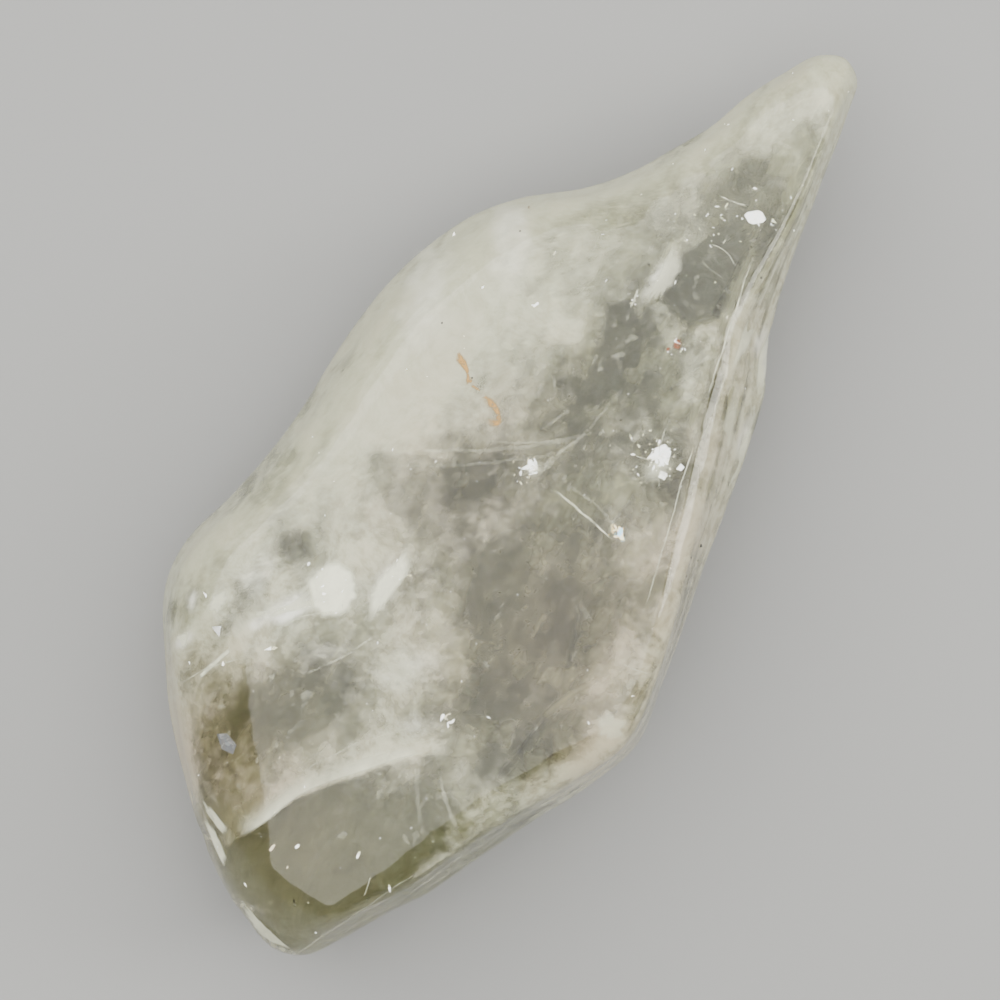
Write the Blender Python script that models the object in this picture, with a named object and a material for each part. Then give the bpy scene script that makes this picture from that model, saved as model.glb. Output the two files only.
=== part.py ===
"""Polished freeform of prasiolite: one solid, hand-polished piece of pale green quartz.

The stone lies on its flat back facet with its pointed tip towards +Y. It is a loft along +Y:
each section is a seven-cornered polygon with softened corners, and the same corner in all the
sections draws one polished edge along the stone. Every size below is in millimetres.
"""

import bmesh
import bpy
import numpy as np

MM = 0.001

# The outline seen from above: (x, y), from the tail corner up the left side to the tip.
LEFT_RIM = (
    (2.4, -26.35), (0.2, -25.8), (-3.0, -24.0), (-7.5, -20.0), (-9.9, -17.0), (-11.8, -14.0),
    (-12.15, -11.5), (-11.4, -8.0), (-10.85, -4.0), (-10.85, 1.0), (-10.6, 4.3), (-10.0, 7.0),
    (-8.7, 10.0), (-7.1, 12.0), (-4.8, 14.0), (-3.2, 16.0), (-2.1, 18.0), (-1.05, 20.0),
    (-0.4, 22.0), (0.5, 24.0), (1.55, 25.8),
)
# From the tip down the right side to the tail corner.
RIGHT_RIM = (
    (2.8, 26.4), (3.9, 25.8), (4.4, 24.0), (5.2, 20.0), (6.0, 16.0), (6.6, 13.8), (7.25, 12.0),
    (8.25, 10.2), (9.1, 7.0), (9.7, 4.0), (10.3, 1.0), (11.0, -2.0), (11.6, -5.0), (12.1, -8.0),
    (11.25, -11.0), (9.85, -14.0), (8.55, -17.0), (7.3, -20.0), (6.1, -22.0), (5.05, -24.0),
    (3.85, -25.8),
)
RIM_SAMPLES = 40  # points of the outline's curve between two of its knots
# How much of each corner is rounded off, as a share of the half edges beside it, against the
# clock from the right rim: rim, crest, fold, shoulder, rim, and the two edges of the resting facet.
CORNER_SOFT = (0.7, 0.42, 0.9, 0.7, 0.75, 0.6, 0.6)
# Where the same corners stand round the stone's rounded ends, in degrees.
END_ANGLES = (0, 52, 92, 135, 180, 232, 308)

# The corners of a section: how far across from the left rim to the right rim, and how high,
# at stations along the stone. Each is a list of (y, share of the width) or (y, height).
RIGHT_RIM_Z = ((-26.4, 5.4), (-12.0, 6.4), (0.0, 7.2), (12.0, 6.7), (26.4, 6.3))
CREST_ACROSS = (
    (-26.4, 0.76), (-20.0, 0.875), (-12.0, 0.92), (-5.0, 0.955), (-1.3, 0.935), (3.5, 0.895),
    (8.3, 0.845), (13.5, 0.83), (18.0, 0.86), (26.4, 0.74),
)
CREST_Z = ((-26.4, 10.7), (-18.0, 12.2), (-8.0, 13.6), (2.0, 13.2), (12.0, 11.2), (20.0, 9.6), (26.4, 8.7))
FOLD_ACROSS = ((-26.4, 0.48), (-18.0, 0.38), (-8.0, 0.33), (4.0, 0.36), (14.0, 0.45), (26.4, 0.46))
FOLD_Z = ((-26.4, 10.6), (-18.0, 11.9), (-8.0, 13.0), (2.0, 12.4), (12.0, 10.8), (20.0, 9.3), (26.4, 8.6))
SHOULDER_ACROSS = ((-26.4, 0.18), (-18.0, 0.09), (-8.0, 0.07), (2.0, 0.10), (14.0, 0.13), (26.4, 0.2))
SHOULDER_Z = ((-26.4, 8.2), (-18.0, 9.9), (-8.0, 10.6), (2.0, 10.2), (12.0, 9.2), (20.0, 8.3), (26.4, 8.1))
LEFT_RIM_Z = ((-26.4, 5.2), (-12.0, 5.3), (0.0, 5.2), (12.0, 5.6), (26.4, 6.3))
LEFT_KEEL_ACROSS = ((-26.4, 0.22), (-16.0, 0.27), (-4.0, 0.29), (8.0, 0.27), (16.0, 0.26), (26.4, 0.26))
RIGHT_KEEL_ACROSS = ((-26.4, 0.76), (-16.0, 0.81), (-4.0, 0.72), (8.0, 0.70), (16.0, 0.74), (26.4, 0.76))
KEEL_LIFT = ((-26.4, 1.6), (-20.0, -1.0), (-8.0, -2.6), (4.0, -1.4), (14.0, 1.6), (26.4, 4.1))
KEEL_SOFT = 0.9  # how softly the resting facet bends up towards the ends
TAIL_ROUND = 4.0  # length of the rounding at the tail corner
TIP_ROUND = 2.9  # length of the rounding at the tip

SEGMENTS = 63  # faces round the stone
RINGS = 62  # faces along it

QUARTZ_COLOUR = (0.70, 0.72, 0.62, 1.0)
QUARTZ_IOR = 1.544


def through(knots, at):
    """A natural cubic spline through (station, value) knots, read at the stations in at."""
    x, v = np.array(knots, float).T
    gap = np.diff(x)
    slope = np.diff(v) / gap
    inner = len(x) - 2
    grid = np.zeros((inner, inner))
    grid[np.arange(inner), np.arange(inner)] = 2 * (gap[:-1] + gap[1:])
    grid[np.arange(inner - 1), np.arange(1, inner)] = gap[1:-1]
    grid[np.arange(1, inner), np.arange(inner - 1)] = gap[1:-1]
    bend = np.concatenate([[0], np.linalg.solve(grid, 6 * np.diff(slope)), [0]])
    i = np.clip(np.searchsorted(x, at) - 1, 0, len(gap) - 1)
    t, back = at - x[i], x[i + 1] - at
    return (
        (bend[i] * back**3 + bend[i + 1] * t**3) / (6 * gap[i])
        + (v[i] / gap[i] - bend[i] * gap[i] / 6) * back
        + (v[i + 1] / gap[i] - bend[i + 1] * gap[i] / 6) * t
    )


def closed_curve(points, samples):
    """A closed centripetal Catmull-Rom curve through the points, as an array of (x, y)."""
    p1 = np.array(points, float)
    p0, p2, p3 = np.roll(p1, 1, 0), np.roll(p1, -1, 0), np.roll(p1, -2, 0)
    step = [np.sqrt(np.linalg.norm(b - a, axis=1))[:, None] for a, b in ((p0, p1), (p1, p2), (p2, p3))]
    lean1 = (p1 - p0) / step[0] - (p2 - p0) / (step[0] + step[1]) + (p2 - p1) / step[1]
    lean2 = (p2 - p1) / step[1] - (p3 - p1) / (step[1] + step[2]) + (p3 - p2) / step[2]
    m1, m2 = lean1 * step[1], lean2 * step[1]
    t = (np.arange(samples) / samples)[None, :, None]
    curve = (
        (2 * t**3 - 3 * t**2 + 1) * p1[:, None]
        + (t**3 - 2 * t**2 + t) * m1[:, None]
        + (3 * t**2 - 2 * t**3) * p2[:, None]
        + (t**3 - t**2) * m2[:, None]
    )
    return curve.reshape(-1, 2)


def soft_min(a, b, soft):
    """The smaller of two values, with a rounded change from one to the other."""
    h = np.clip(0.5 + 0.5 * (b - a) / soft, 0, 1)
    return b + (a - b) * h - soft * h * (1 - h)


def outline(along):
    """(y, left x, right x) of the outline, centred on the origin, for places along the stone from
    -1 at the tail to 1 at the tip."""
    curve = closed_curve(LEFT_RIM + RIGHT_RIM, RIM_SAMPLES)
    curve -= (curve.max(0) + curve.min(0)) / 2
    curve = np.roll(curve, -int(curve[:, 1].argmin()), 0)
    top = int(curve[:, 1].argmax())
    left, right = curve[: top + 1], np.vstack([curve[top:], curve[:1]])[::-1]
    y = curve[top, 1] * along
    return y, np.interp(y, left[:, 1], left[:, 0]), np.interp(y, right[:, 1], right[:, 0])


def section_corners(y, from_end):
    """(share across, height, softness) of the seven corners at the stations y, against the clock
    from the right rim. Towards the two ends the section turns into a closing round."""
    keel = -soft_min(-through(KEEL_LIFT, y), 0.0, KEEL_SOFT)
    right_rim, left_rim = through(RIGHT_RIM_Z, y), through(LEFT_RIM_Z, y)
    across = np.stack([
        np.ones_like(y), through(CREST_ACROSS, y), through(FOLD_ACROSS, y), through(SHOULDER_ACROSS, y),
        np.zeros_like(y), through(LEFT_KEEL_ACROSS, y), through(RIGHT_KEEL_ACROSS, y),
    ])
    height = np.stack([
        right_rim, through(CREST_Z, y), through(FOLD_Z, y), through(SHOULDER_Z, y), left_rim, keel, keel,
    ])
    angle = np.radians(END_ANGLES)[:, None]
    middle = (right_rim + left_rim) / 2
    top, bottom = height[1:4].mean(0) - middle, middle - keel
    round_height = middle + np.sin(angle) * np.where(angle < np.pi, top, bottom)
    soft = np.array(CORNER_SOFT)[:, None]
    cornered = from_end * from_end * (3 - 2 * from_end)
    across = (1 + np.cos(angle)) / 2 * (1 - cornered) + across * cornered
    height = round_height * (1 - cornered) + height * cornered
    closing = np.sqrt(from_end * (2 - from_end))
    return across, middle + (height - middle) * closing, 1 + (soft - 1) * cornered


def drawn_in(here, before, after, soft):
    """How far the rounding of a corner draws it in."""
    one, other = abs(here - before) / 2, abs(here - after) / 2
    return soft * one * other / (one + other)


def stone_surface(around, along):
    """The stone's surface in millimetres, (x, y, z), for a turn round a section from 0 to 1 and a
    place along the stone from -1 at the tail to 1 at the tip."""
    y, left, right = outline(along)
    reach = y.max()
    from_end = np.minimum((y + reach) / TAIL_ROUND, (reach - y) / TIP_ROUND).clip(0, 1)
    across, height, softness = section_corners(y, from_end)
    count = len(across)
    corner, way = np.divmod(around * count, 1)
    corner = corner.astype(int) % count
    node = np.arange(len(y))
    first = soft_min(2 * way, 1.0, softness[corner, node])
    second = 2 * way - first

    def walk(values):
        """From the middle of the edge before the corner, round it, to the middle of the next edge."""
        before, here, after = (values[(corner + step) % count, node] for step in (-1, 0, 1))
        return (before + here) / 2 + (here - before) / 2 * first + (after - here) / 2 * second

    high = across[0] - drawn_in(across[0], across[6], across[1], softness[0])
    low = across[4] + drawn_in(across[4], across[3], across[5], softness[4])
    share = (walk(across) - low) / (high - low)
    return left + (right - left) * share, y, walk(height)


def quartz():
    """Pale grey-green see-through quartz."""
    material = bpy.data.materials.new("prasiolite")
    material.use_nodes = True
    shader = material.node_tree.nodes["Principled BSDF"]
    shader.inputs["Base Color"].default_value = QUARTZ_COLOUR
    shader.inputs["Roughness"].default_value = 0.05
    shader.inputs["IOR"].default_value = QUARTZ_IOR
    shader.inputs["Transmission Weight"].default_value = 0.8
    return material


def add_stone(collection):
    """A round primitive with its poles at the tail and the tip, each point of it moved onto the stone."""
    form = bmesh.new()
    bmesh.ops.create_uvsphere(form, u_segments=SEGMENTS, v_segments=RINGS, radius=1.0)
    mesh = bpy.data.meshes.new("prasiolite_stone")
    form.to_mesh(mesh)
    form.free()
    ball = np.empty(len(mesh.vertices) * 3)
    mesh.vertices.foreach_get("co", ball)
    ball = ball.reshape(-1, 3)
    turn = np.arctan2(-ball[:, 1], ball[:, 0]) / (2 * np.pi) % 1
    x, y, z = stone_surface(turn, ball[:, 2].clip(-1, 1))
    z -= z.min()
    mesh.vertices.foreach_set("co", (np.stack([x, y, z], 1) * MM).ravel())
    mesh.shade_smooth()
    mesh.materials.append(quartz())
    stone = bpy.data.objects.new("prasiolite_stone", mesh)
    collection.objects.link(stone)
    return stone


def main():
    for leftover in list(bpy.data.objects):
        bpy.data.objects.remove(leftover)
    collection = bpy.data.collections.new("polished_prasiolite")
    bpy.context.scene.collection.children.link(collection)
    add_stone(collection)


main()
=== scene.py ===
"""Looks of the polished prasiolite: a see-through skin of pale green quartz around the milky
veils, healed fractures, sparkling flakes and rust that lie inside the stone.

Every length in the tables is in millimetres, in the stone's own frame: +Y towards the pointed
tip, +Z up from the resting facet, +X towards the steep side facet.
"""

import bpy
import numpy as np
from bpy.props import FloatProperty, FloatVectorProperty, PointerProperty
from bpy.types import Operator, Panel, PropertyGroup
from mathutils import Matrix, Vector


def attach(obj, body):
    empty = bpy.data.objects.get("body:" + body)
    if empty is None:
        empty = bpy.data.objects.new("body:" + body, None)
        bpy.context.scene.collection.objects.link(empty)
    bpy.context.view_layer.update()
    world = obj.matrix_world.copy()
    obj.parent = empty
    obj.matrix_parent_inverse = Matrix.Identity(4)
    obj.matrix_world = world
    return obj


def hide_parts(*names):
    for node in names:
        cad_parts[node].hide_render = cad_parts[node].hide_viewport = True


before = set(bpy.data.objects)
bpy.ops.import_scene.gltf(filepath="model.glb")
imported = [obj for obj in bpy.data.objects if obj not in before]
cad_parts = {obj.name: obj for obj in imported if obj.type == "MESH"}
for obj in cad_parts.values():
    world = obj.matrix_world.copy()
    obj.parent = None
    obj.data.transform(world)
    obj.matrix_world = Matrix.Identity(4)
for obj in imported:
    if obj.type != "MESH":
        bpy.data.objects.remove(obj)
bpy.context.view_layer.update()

bl_info = {
    "name": "Polished prasiolite",
    "version": (1, 0, 0),
    "blender": (4, 5, 0),
    "location": "3D View > Sidebar > Prasiolite",
    "description": "Dresses the packed stone in see-through quartz with veils, fractures and stains inside",
    "category": "Object",
}

MM = 0.001
BODY = "root"
QUARTZ_IOR = 1.544
FACE_LIFT = 0.022  # how far the sheets on the face stand off it
INNER_DEPTHS = (0.04, 0.97)  # the sheets inside stay between these shares of the way to the front
PANE_EDGE = (-0.06, 0.10)  # a pane sets in between these distances from its side
BLOT_SPOKES = 36
BAND_STEP = 0.13  # between the points of a band
LATTICE_SIZE = 256
WAVES_PER_OCTAVE = 7

# The stone's form, as its source has it. Outline seen from above: (x, y).
LEFT_RIM = (
    (2.4, -26.35), (0.2, -25.8), (-3.0, -24.0), (-7.5, -20.0), (-9.9, -17.0), (-11.8, -14.0),
    (-12.15, -11.5), (-11.4, -8.0), (-10.85, -4.0), (-10.85, 1.0), (-10.6, 4.3), (-10.0, 7.0), (-8.7, 10.0),
    (-7.1, 12.0), (-4.8, 14.0), (-3.2, 16.0), (-2.1, 18.0), (-1.05, 20.0), (-0.4, 22.0), (0.5, 24.0),
    (1.55, 25.8),
)
RIGHT_RIM = (
    (2.8, 26.4), (3.9, 25.8), (4.4, 24.0), (5.2, 20.0), (6.0, 16.0), (6.6, 13.8), (7.25, 12.0),
    (8.25, 10.2), (9.1, 7.0), (9.7, 4.0), (10.3, 1.0), (11.0, -2.0), (11.6, -5.0), (12.1, -8.0),
    (11.25, -11.0), (9.85, -14.0), (8.55, -17.0), (7.3, -20.0), (6.1, -22.0), (5.05, -24.0), (3.85, -25.8),
)
RIM_SAMPLES = 40
CORNER_SOFT = (0.7, 0.42, 0.9, 0.7, 0.75, 0.6, 0.6)
END_ANGLES = (0, 52, 92, 135, 180, 232, 308)
# The corners of a section: (y, share of the width) or (y, height).
RIGHT_RIM_Z = ((-26.4, 5.4), (-12.0, 6.4), (0.0, 7.2), (12.0, 6.7), (26.4, 6.3))
CREST_ACROSS = (
    (-26.4, 0.76), (-20.0, 0.875), (-12.0, 0.92), (-5.0, 0.955), (-1.3, 0.935), (3.5, 0.895),
    (8.3, 0.845), (13.5, 0.83), (18.0, 0.86), (26.4, 0.74),
)
CREST_Z = ((-26.4, 10.7), (-18.0, 12.2), (-8.0, 13.6), (2.0, 13.2), (12.0, 11.2), (20.0, 9.6), (26.4, 8.7))
FOLD_ACROSS = ((-26.4, 0.48), (-18.0, 0.38), (-8.0, 0.33), (4.0, 0.36), (14.0, 0.45), (26.4, 0.46))
FOLD_Z = ((-26.4, 10.6), (-18.0, 11.9), (-8.0, 13.0), (2.0, 12.4), (12.0, 10.8), (20.0, 9.3), (26.4, 8.6))
SHOULDER_ACROSS = ((-26.4, 0.18), (-18.0, 0.09), (-8.0, 0.07), (2.0, 0.10), (14.0, 0.13), (26.4, 0.2))
SHOULDER_Z = ((-26.4, 8.2), (-18.0, 9.9), (-8.0, 10.6), (2.0, 10.2), (12.0, 9.2), (20.0, 8.3), (26.4, 8.1))
LEFT_RIM_Z = ((-26.4, 5.2), (-12.0, 5.3), (0.0, 5.2), (12.0, 5.6), (26.4, 6.3))
LEFT_KEEL_ACROSS = ((-26.4, 0.22), (-16.0, 0.27), (-4.0, 0.29), (8.0, 0.27), (16.0, 0.26), (26.4, 0.26))
RIGHT_KEEL_ACROSS = ((-26.4, 0.76), (-16.0, 0.81), (-4.0, 0.72), (8.0, 0.70), (16.0, 0.74), (26.4, 0.76))
KEEL_LIFT = ((-26.4, 1.6), (-20.0, -1.0), (-8.0, -2.6), (4.0, -1.4), (14.0, 1.6), (26.4, 4.1))
KEEL_SOFT = 0.9
TAIL_ROUND = 4.0
TIP_ROUND = 2.9
CORNERS = len(CORNER_SOFT)
RIGHT_TURN = 0.5 / CORNERS  # turn of the right rim round a section
CREST_TURN = 1.5 / CORNERS
LEFT_TURN = 4.5 / CORNERS

# Soft spots: (x, y, half length, half width, turn in degrees from +Y to -X, strength).
MILK_SPOTS = (
    (-7.4, 6.6, 5.0, 3.2, 20, 0.66), (-8.2, -2.4, 5.5, 3.0, 5, 0.62), (-5.6, 2.0, 11.0, 4.6, 4, 0.42),
    (2.2, 23.2, 5.0, 2.4, -12, 0.42), (2.7, 25.8, 1.8, 1.5, 0, 0.65), (-9.6, -10.8, 3.6, 2.6, 10, 0.55),
    (-1.0, 14.0, 5.0, 2.6, -28, 0.28), (1.0, -9.8, 4.0, 2.6, -20, 0.48), (1.2, -16.4, 6.0, 1.9, -57, 0.50),
    (-2.4, 7.4, 4.2, 2.4, 0, 0.28), (5.4, 6.6, 6.5, 1.3, 14, 0.35), (6.4, -0.6, 4.0, 2.4, 0, 0.22),
    (9.3, -6.0, 3.4, 1.3, 10, 0.34), (-6.6, -13.2, 3.0, 1.4, -35, 0.34), (7.6, -14.6, 4.6, 1.6, -27, 0.22),
    (-4.6, -8.6, 3.2, 2.2, -30, 0.40), (-9.4, -15.2, 2.4, 0.9, -12, 0.50), (1.9, 20.6, 1.4, 1.0, -12, 0.25),
    (-0.6, 19.2, 4.2, 1.0, -19, 0.50), (4.2, -9.6, 1.8, 1.4, 0, -0.35), (0.8, 11.9, 1.9, 0.5, -4, 0.60),
    (2.9, 13.3, 2.3, 1.15, -14, -0.95), (0.9, 7.3, 1.6, 0.95, -20, -0.75),
    (1.7, 18.4, 1.6, 0.8, -15, -0.50), (1.2, 5.0, 1.1, 0.8, 0, -0.50), (-4.0, -15.6, 3.0, 2.0, -40, -0.55),
    (-6.9, -17.6, 3.4, 1.6, -20, 0.62), (4.6, -4.6, 4.0, 2.6, -10, -0.50),
    (7.6, -10.4, 2.2, 1.4, -20, -0.45), (9.9, -10.6, 2.8, 1.0, -28, 0.35),
    (9.2, -14.2, 3.6, 1.0, -27, -0.40), (2.8, -21.2, 5.0, 3.4, -50, -1.00),
    (-7.1, -8.6, 1.3, 1.1, -30, -0.45), (-1.4, -1.1, 1.8, 1.2, -40, -0.40), (1.8, -6.2, 1.9, 1.2, 0, -0.40),
    (-4.6, 13.4, 3.2, 1.0, -38, 0.45), (4.6, -15.7, 1.7, 1.1, -40, -0.45), (5.6, 4.3, 1.7, 1.3, 0, -0.35),
    (-7.8, -13.4, 1.0, 0.5, -30, -0.30), (6.2, 2.6, 1.6, 0.9, 0, -0.20),
)
MILK_BASE = 0.30
FRACTURE_EDGE = ((-2.2, -22.9), (-1.1, -20.3), (-0.7, -19.1), (1.8, -15.6), (2.5, -14.7), (4.0, -13.2))
# White patches: (x, y, half length, half width, turn, strength).
WHITE_PATCHES = (
    (-4.7, -9.4, 1.25, 1.0, 20, 1.0), (-5.8, -11.2, 1.5, 0.55, -35, 0.8), (-6.8, -12.7, 0.7, 0.3, -30, 0.6),
    (-2.5, -7.7, 1.85, 0.5, 7, 0.85), (-10.1, -13.5, 0.65, 0.4, 10, 0.7), (-9.4, -15.4, 0.6, 0.3, -20, 0.6),
    (0.6, -10.6, 1.6, 1.0, -30, 0.35), (2.3, -12.6, 1.2, 0.6, -40, 0.35), (-8.6, 5.4, 2.8, 1.2, 25, 0.35),
    (-6.3, 9.6, 2.0, 1.0, 35, 0.45), (2.4, 22.6, 2.4, 0.9, -14, 0.12), (6.7, 12.0, 0.9, 0.3, 12, 0.5),
    (8.5, 7.7, 1.0, 0.35, 12, 0.5), (-1.9, -4.6, 1.4, 0.8, 0, 0.1), (0.75, 12.0, 1.6, 0.4, -4, 0.45),
    (-8.0, -11.0, 1.3, 0.8, 0, 0.3), (-3.2, -12.2, 1.2, 0.6, -40, 0.35), (10.0, -7.4, 0.9, 0.5, -30, 0.3),
)
# Panes with sharp sides: strength, from -1 for quite clear to 1 for milky, and corners (x, y).
PANES = (
    (-0.95, ((1.3, 13.4), (1.75, 14.9), (3.3, 16.05), (4.35, 11.75), (3.4, 10.55), (1.5, 11.2))),
    (-0.9, ((-0.6, 9.3), (0.4, 10.1), (1.8, 8.9), (2.3, 7.5), (1.1, 6.8), (0.0, 8.1))),
    (-0.95, ((0.8, 6.5), (1.8, 7.2), (2.5, 5.8), (1.1, 5.3))),
    (-0.8, ((-1.0, 4.8), (-0.1, 5.6), (1.0, 5.7), (1.1, 5.1), (-0.3, 4.4))),
    (-0.5, ((3.6, 7.5), (3.9, 7.9), (4.4, 7.5), (4.1, 7.1))),
    (-0.4, ((-1.1, 2.3), (0.8, 4.0), (2.0, 3.4), (0.6, 1.8))),
    (-0.4, ((-1.0, 0.2), (-0.6, 0.9), (0.3, 0.0), (-0.1, -0.8))),
    (-0.3, ((1.5, 1.4), (3.2, 2.9), (4.5, 2.0), (3.7, 0.7), (2.4, 0.4))),
    (-0.15, ((-2.7, -4.3), (-1.3, -2.2), (0.8, -4.5), (0.1, -7.2))),
    (-0.35, ((-6.8, -2.9), (-4.4, -1.6), (-2.1, -0.7), (-0.6, -1.8), (-1.6, -5.2), (-4.6, -4.6))),
    (-0.4, ((2.0, -2.9), (2.7, -2.6), (3.1, -3.4), (2.5, -4.1), (1.9, -3.7))),
    (-0.4, ((-8.1, -8.4), (-7.0, -7.5), (-6.4, -8.7), (-7.3, -9.9))),
    (-0.35, ((-8.9, -11.6), (-7.4, -10.6), (-6.5, -12.0), (-7.9, -12.8))),
    (-0.3, ((5.0, 3.4), (6.1, 5.3), (6.9, 3.6), (5.9, 2.2))),
    (-0.3, ((0.2, 11.9), (0.9, 12.9), (0.5, 10.6), (-0.1, 10.4))),
    (0.22, ((-8.7, 2.0), (-5.2, 3.4), (-3.7, 2.6), (-2.1, 1.7), (-6.7, -2.5), (-9.1, -2.4))),
    (0.30, ((3.4, 10.5), (4.4, 11.4), (5.7, 8.4), (4.6, 7.4))),
    (0.45, ((1.1, 10.4), (1.5, 11.1), (3.3, 10.45), (3.2, 9.0), (2.2, 9.6))),
    (0.22, ((9.6, -7.2), (10.9, -7.0), (11.5, -7.8), (10.6, -8.8), (9.6, -8.6))),
    (0.25, ((7.4, -8.9), (8.1, -7.4), (8.9, -5.9), (9.2, -6.2), (8.5, -7.8), (7.9, -9.2))),
    (0.25, ((-3.1, 8.2), (-1.6, 9.6), (-0.8, 7.2), (-2.2, 6.2))),
)
# Warmer quartz, in the same columns as the milk.
WARM_SPOTS = (
    (6.2, -5.2, 5.0, 4.0, 0, 0.95), (-5.3, -18.3, 4.2, 3.4, -30, 1.0), (-2.6, -1.9, 4.5, 4.0, 0, 0.55),
    (0.4, -20.8, 4.0, 5.0, 0, 0.75), (9.6, -8.6, 3.0, 2.4, 0, 0.7), (8.2, 0.6, 5.0, 2.4, 10, 0.5),
    (6.8, 8.6, 7.0, 1.5, 12, 0.5), (2.0, -9.0, 4.0, 4.0, 0, 0.35), (0.5, 3.5, 5.0, 3.0, 0, 0.3),
)


def through(knots, at):
    """A natural cubic spline through (station, value) knots, read at the stations in at."""
    x, v = np.array(knots, float).T
    gap = np.diff(x)
    slope = np.diff(v) / gap
    inner = len(x) - 2
    grid = np.zeros((inner, inner))
    grid[np.arange(inner), np.arange(inner)] = 2 * (gap[:-1] + gap[1:])
    grid[np.arange(inner - 1), np.arange(1, inner)] = gap[1:-1]
    grid[np.arange(1, inner), np.arange(inner - 1)] = gap[1:-1]
    bend = np.concatenate([[0], np.linalg.solve(grid, 6 * np.diff(slope)), [0]])
    i = np.clip(np.searchsorted(x, at) - 1, 0, len(gap) - 1)
    t, back = at - x[i], x[i + 1] - at
    return (
        (bend[i] * back**3 + bend[i + 1] * t**3) / (6 * gap[i])
        + (v[i] / gap[i] - bend[i] * gap[i] / 6) * back
        + (v[i + 1] / gap[i] - bend[i + 1] * gap[i] / 6) * t
    )


def closed_curve(points, samples):
    """A closed centripetal Catmull-Rom curve through the points, as an array of (x, y)."""
    p1 = np.array(points, float)
    p0, p2, p3 = np.roll(p1, 1, 0), np.roll(p1, -1, 0), np.roll(p1, -2, 0)
    step = [np.sqrt(np.linalg.norm(b - a, axis=1))[:, None] for a, b in ((p0, p1), (p1, p2), (p2, p3))]
    lean1 = (p1 - p0) / step[0] - (p2 - p0) / (step[0] + step[1]) + (p2 - p1) / step[1]
    lean2 = (p2 - p1) / step[1] - (p3 - p1) / (step[1] + step[2]) + (p3 - p2) / step[2]
    m1, m2 = lean1 * step[1], lean2 * step[1]
    t = (np.arange(samples) / samples)[None, :, None]
    curve = (
        (2 * t**3 - 3 * t**2 + 1) * p1[:, None]
        + (t**3 - 2 * t**2 + t) * m1[:, None]
        + (3 * t**2 - 2 * t**3) * p2[:, None]
        + (t**3 - t**2) * m2[:, None]
    )
    return curve.reshape(-1, 2)


def soft_min(a, b, soft):
    """The smaller of two values, with a rounded change from one to the other."""
    h = np.clip(0.5 + 0.5 * (b - a) / soft, 0, 1)
    return b + (a - b) * h - soft * h * (1 - h)


def soft_step(low, high, value):
    """0 below low, 1 above high, and a smooth change between."""
    t = np.clip((value - low) / (high - low), 0, 1)
    return t * t * (3 - 2 * t)


def rim_curves():
    """((y, x) of the left rim, (y, x) of the right rim, half the length), centred on the origin."""
    curve = closed_curve(LEFT_RIM + RIGHT_RIM, RIM_SAMPLES)
    curve -= (curve.max(0) + curve.min(0)) / 2
    curve = np.roll(curve, -int(curve[:, 1].argmin()), 0)
    top = int(curve[:, 1].argmax())
    left, right = curve[: top + 1], np.vstack([curve[top:], curve[:1]])[::-1]
    return (left[:, 1], left[:, 0]), (right[:, 1], right[:, 0]), curve[top, 1]


LEFT_CURVE, RIGHT_CURVE, REACH = rim_curves()


def rims(y):
    """x of the left rim and of the right rim at the stations y."""
    return np.interp(y, *LEFT_CURVE), np.interp(y, *RIGHT_CURVE)


def section_corners(y, from_end):
    """(share across, height, softness) of the seven corners at the stations y, against the clock
    from the right rim. Towards the two ends the section turns into a closing round."""
    keel = -soft_min(-through(KEEL_LIFT, y), 0.0, KEEL_SOFT)
    right_rim, left_rim = through(RIGHT_RIM_Z, y), through(LEFT_RIM_Z, y)
    across = np.stack([
        np.ones_like(y), through(CREST_ACROSS, y), through(FOLD_ACROSS, y), through(SHOULDER_ACROSS, y),
        np.zeros_like(y), through(LEFT_KEEL_ACROSS, y), through(RIGHT_KEEL_ACROSS, y),
    ])
    height = np.stack([
        right_rim, through(CREST_Z, y), through(FOLD_Z, y), through(SHOULDER_Z, y), left_rim, keel, keel,
    ])
    angle = np.radians(END_ANGLES)[:, None]
    middle = (right_rim + left_rim) / 2
    top, bottom = height[1:4].mean(0) - middle, middle - keel
    round_height = middle + np.sin(angle) * np.where(angle < np.pi, top, bottom)
    soft = np.array(CORNER_SOFT)[:, None]
    cornered = from_end * from_end * (3 - 2 * from_end)
    across = (1 + np.cos(angle)) / 2 * (1 - cornered) + across * cornered
    height = round_height * (1 - cornered) + height * cornered
    closing = np.sqrt(from_end * (2 - from_end))
    return across, middle + (height - middle) * closing, 1 + (soft - 1) * cornered


def drawn_in(here, before, after, soft):
    """How far the rounding of a corner draws it in."""
    one, other = abs(here - before) / 2, abs(here - after) / 2
    return soft * one * other / (one + other)


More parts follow.
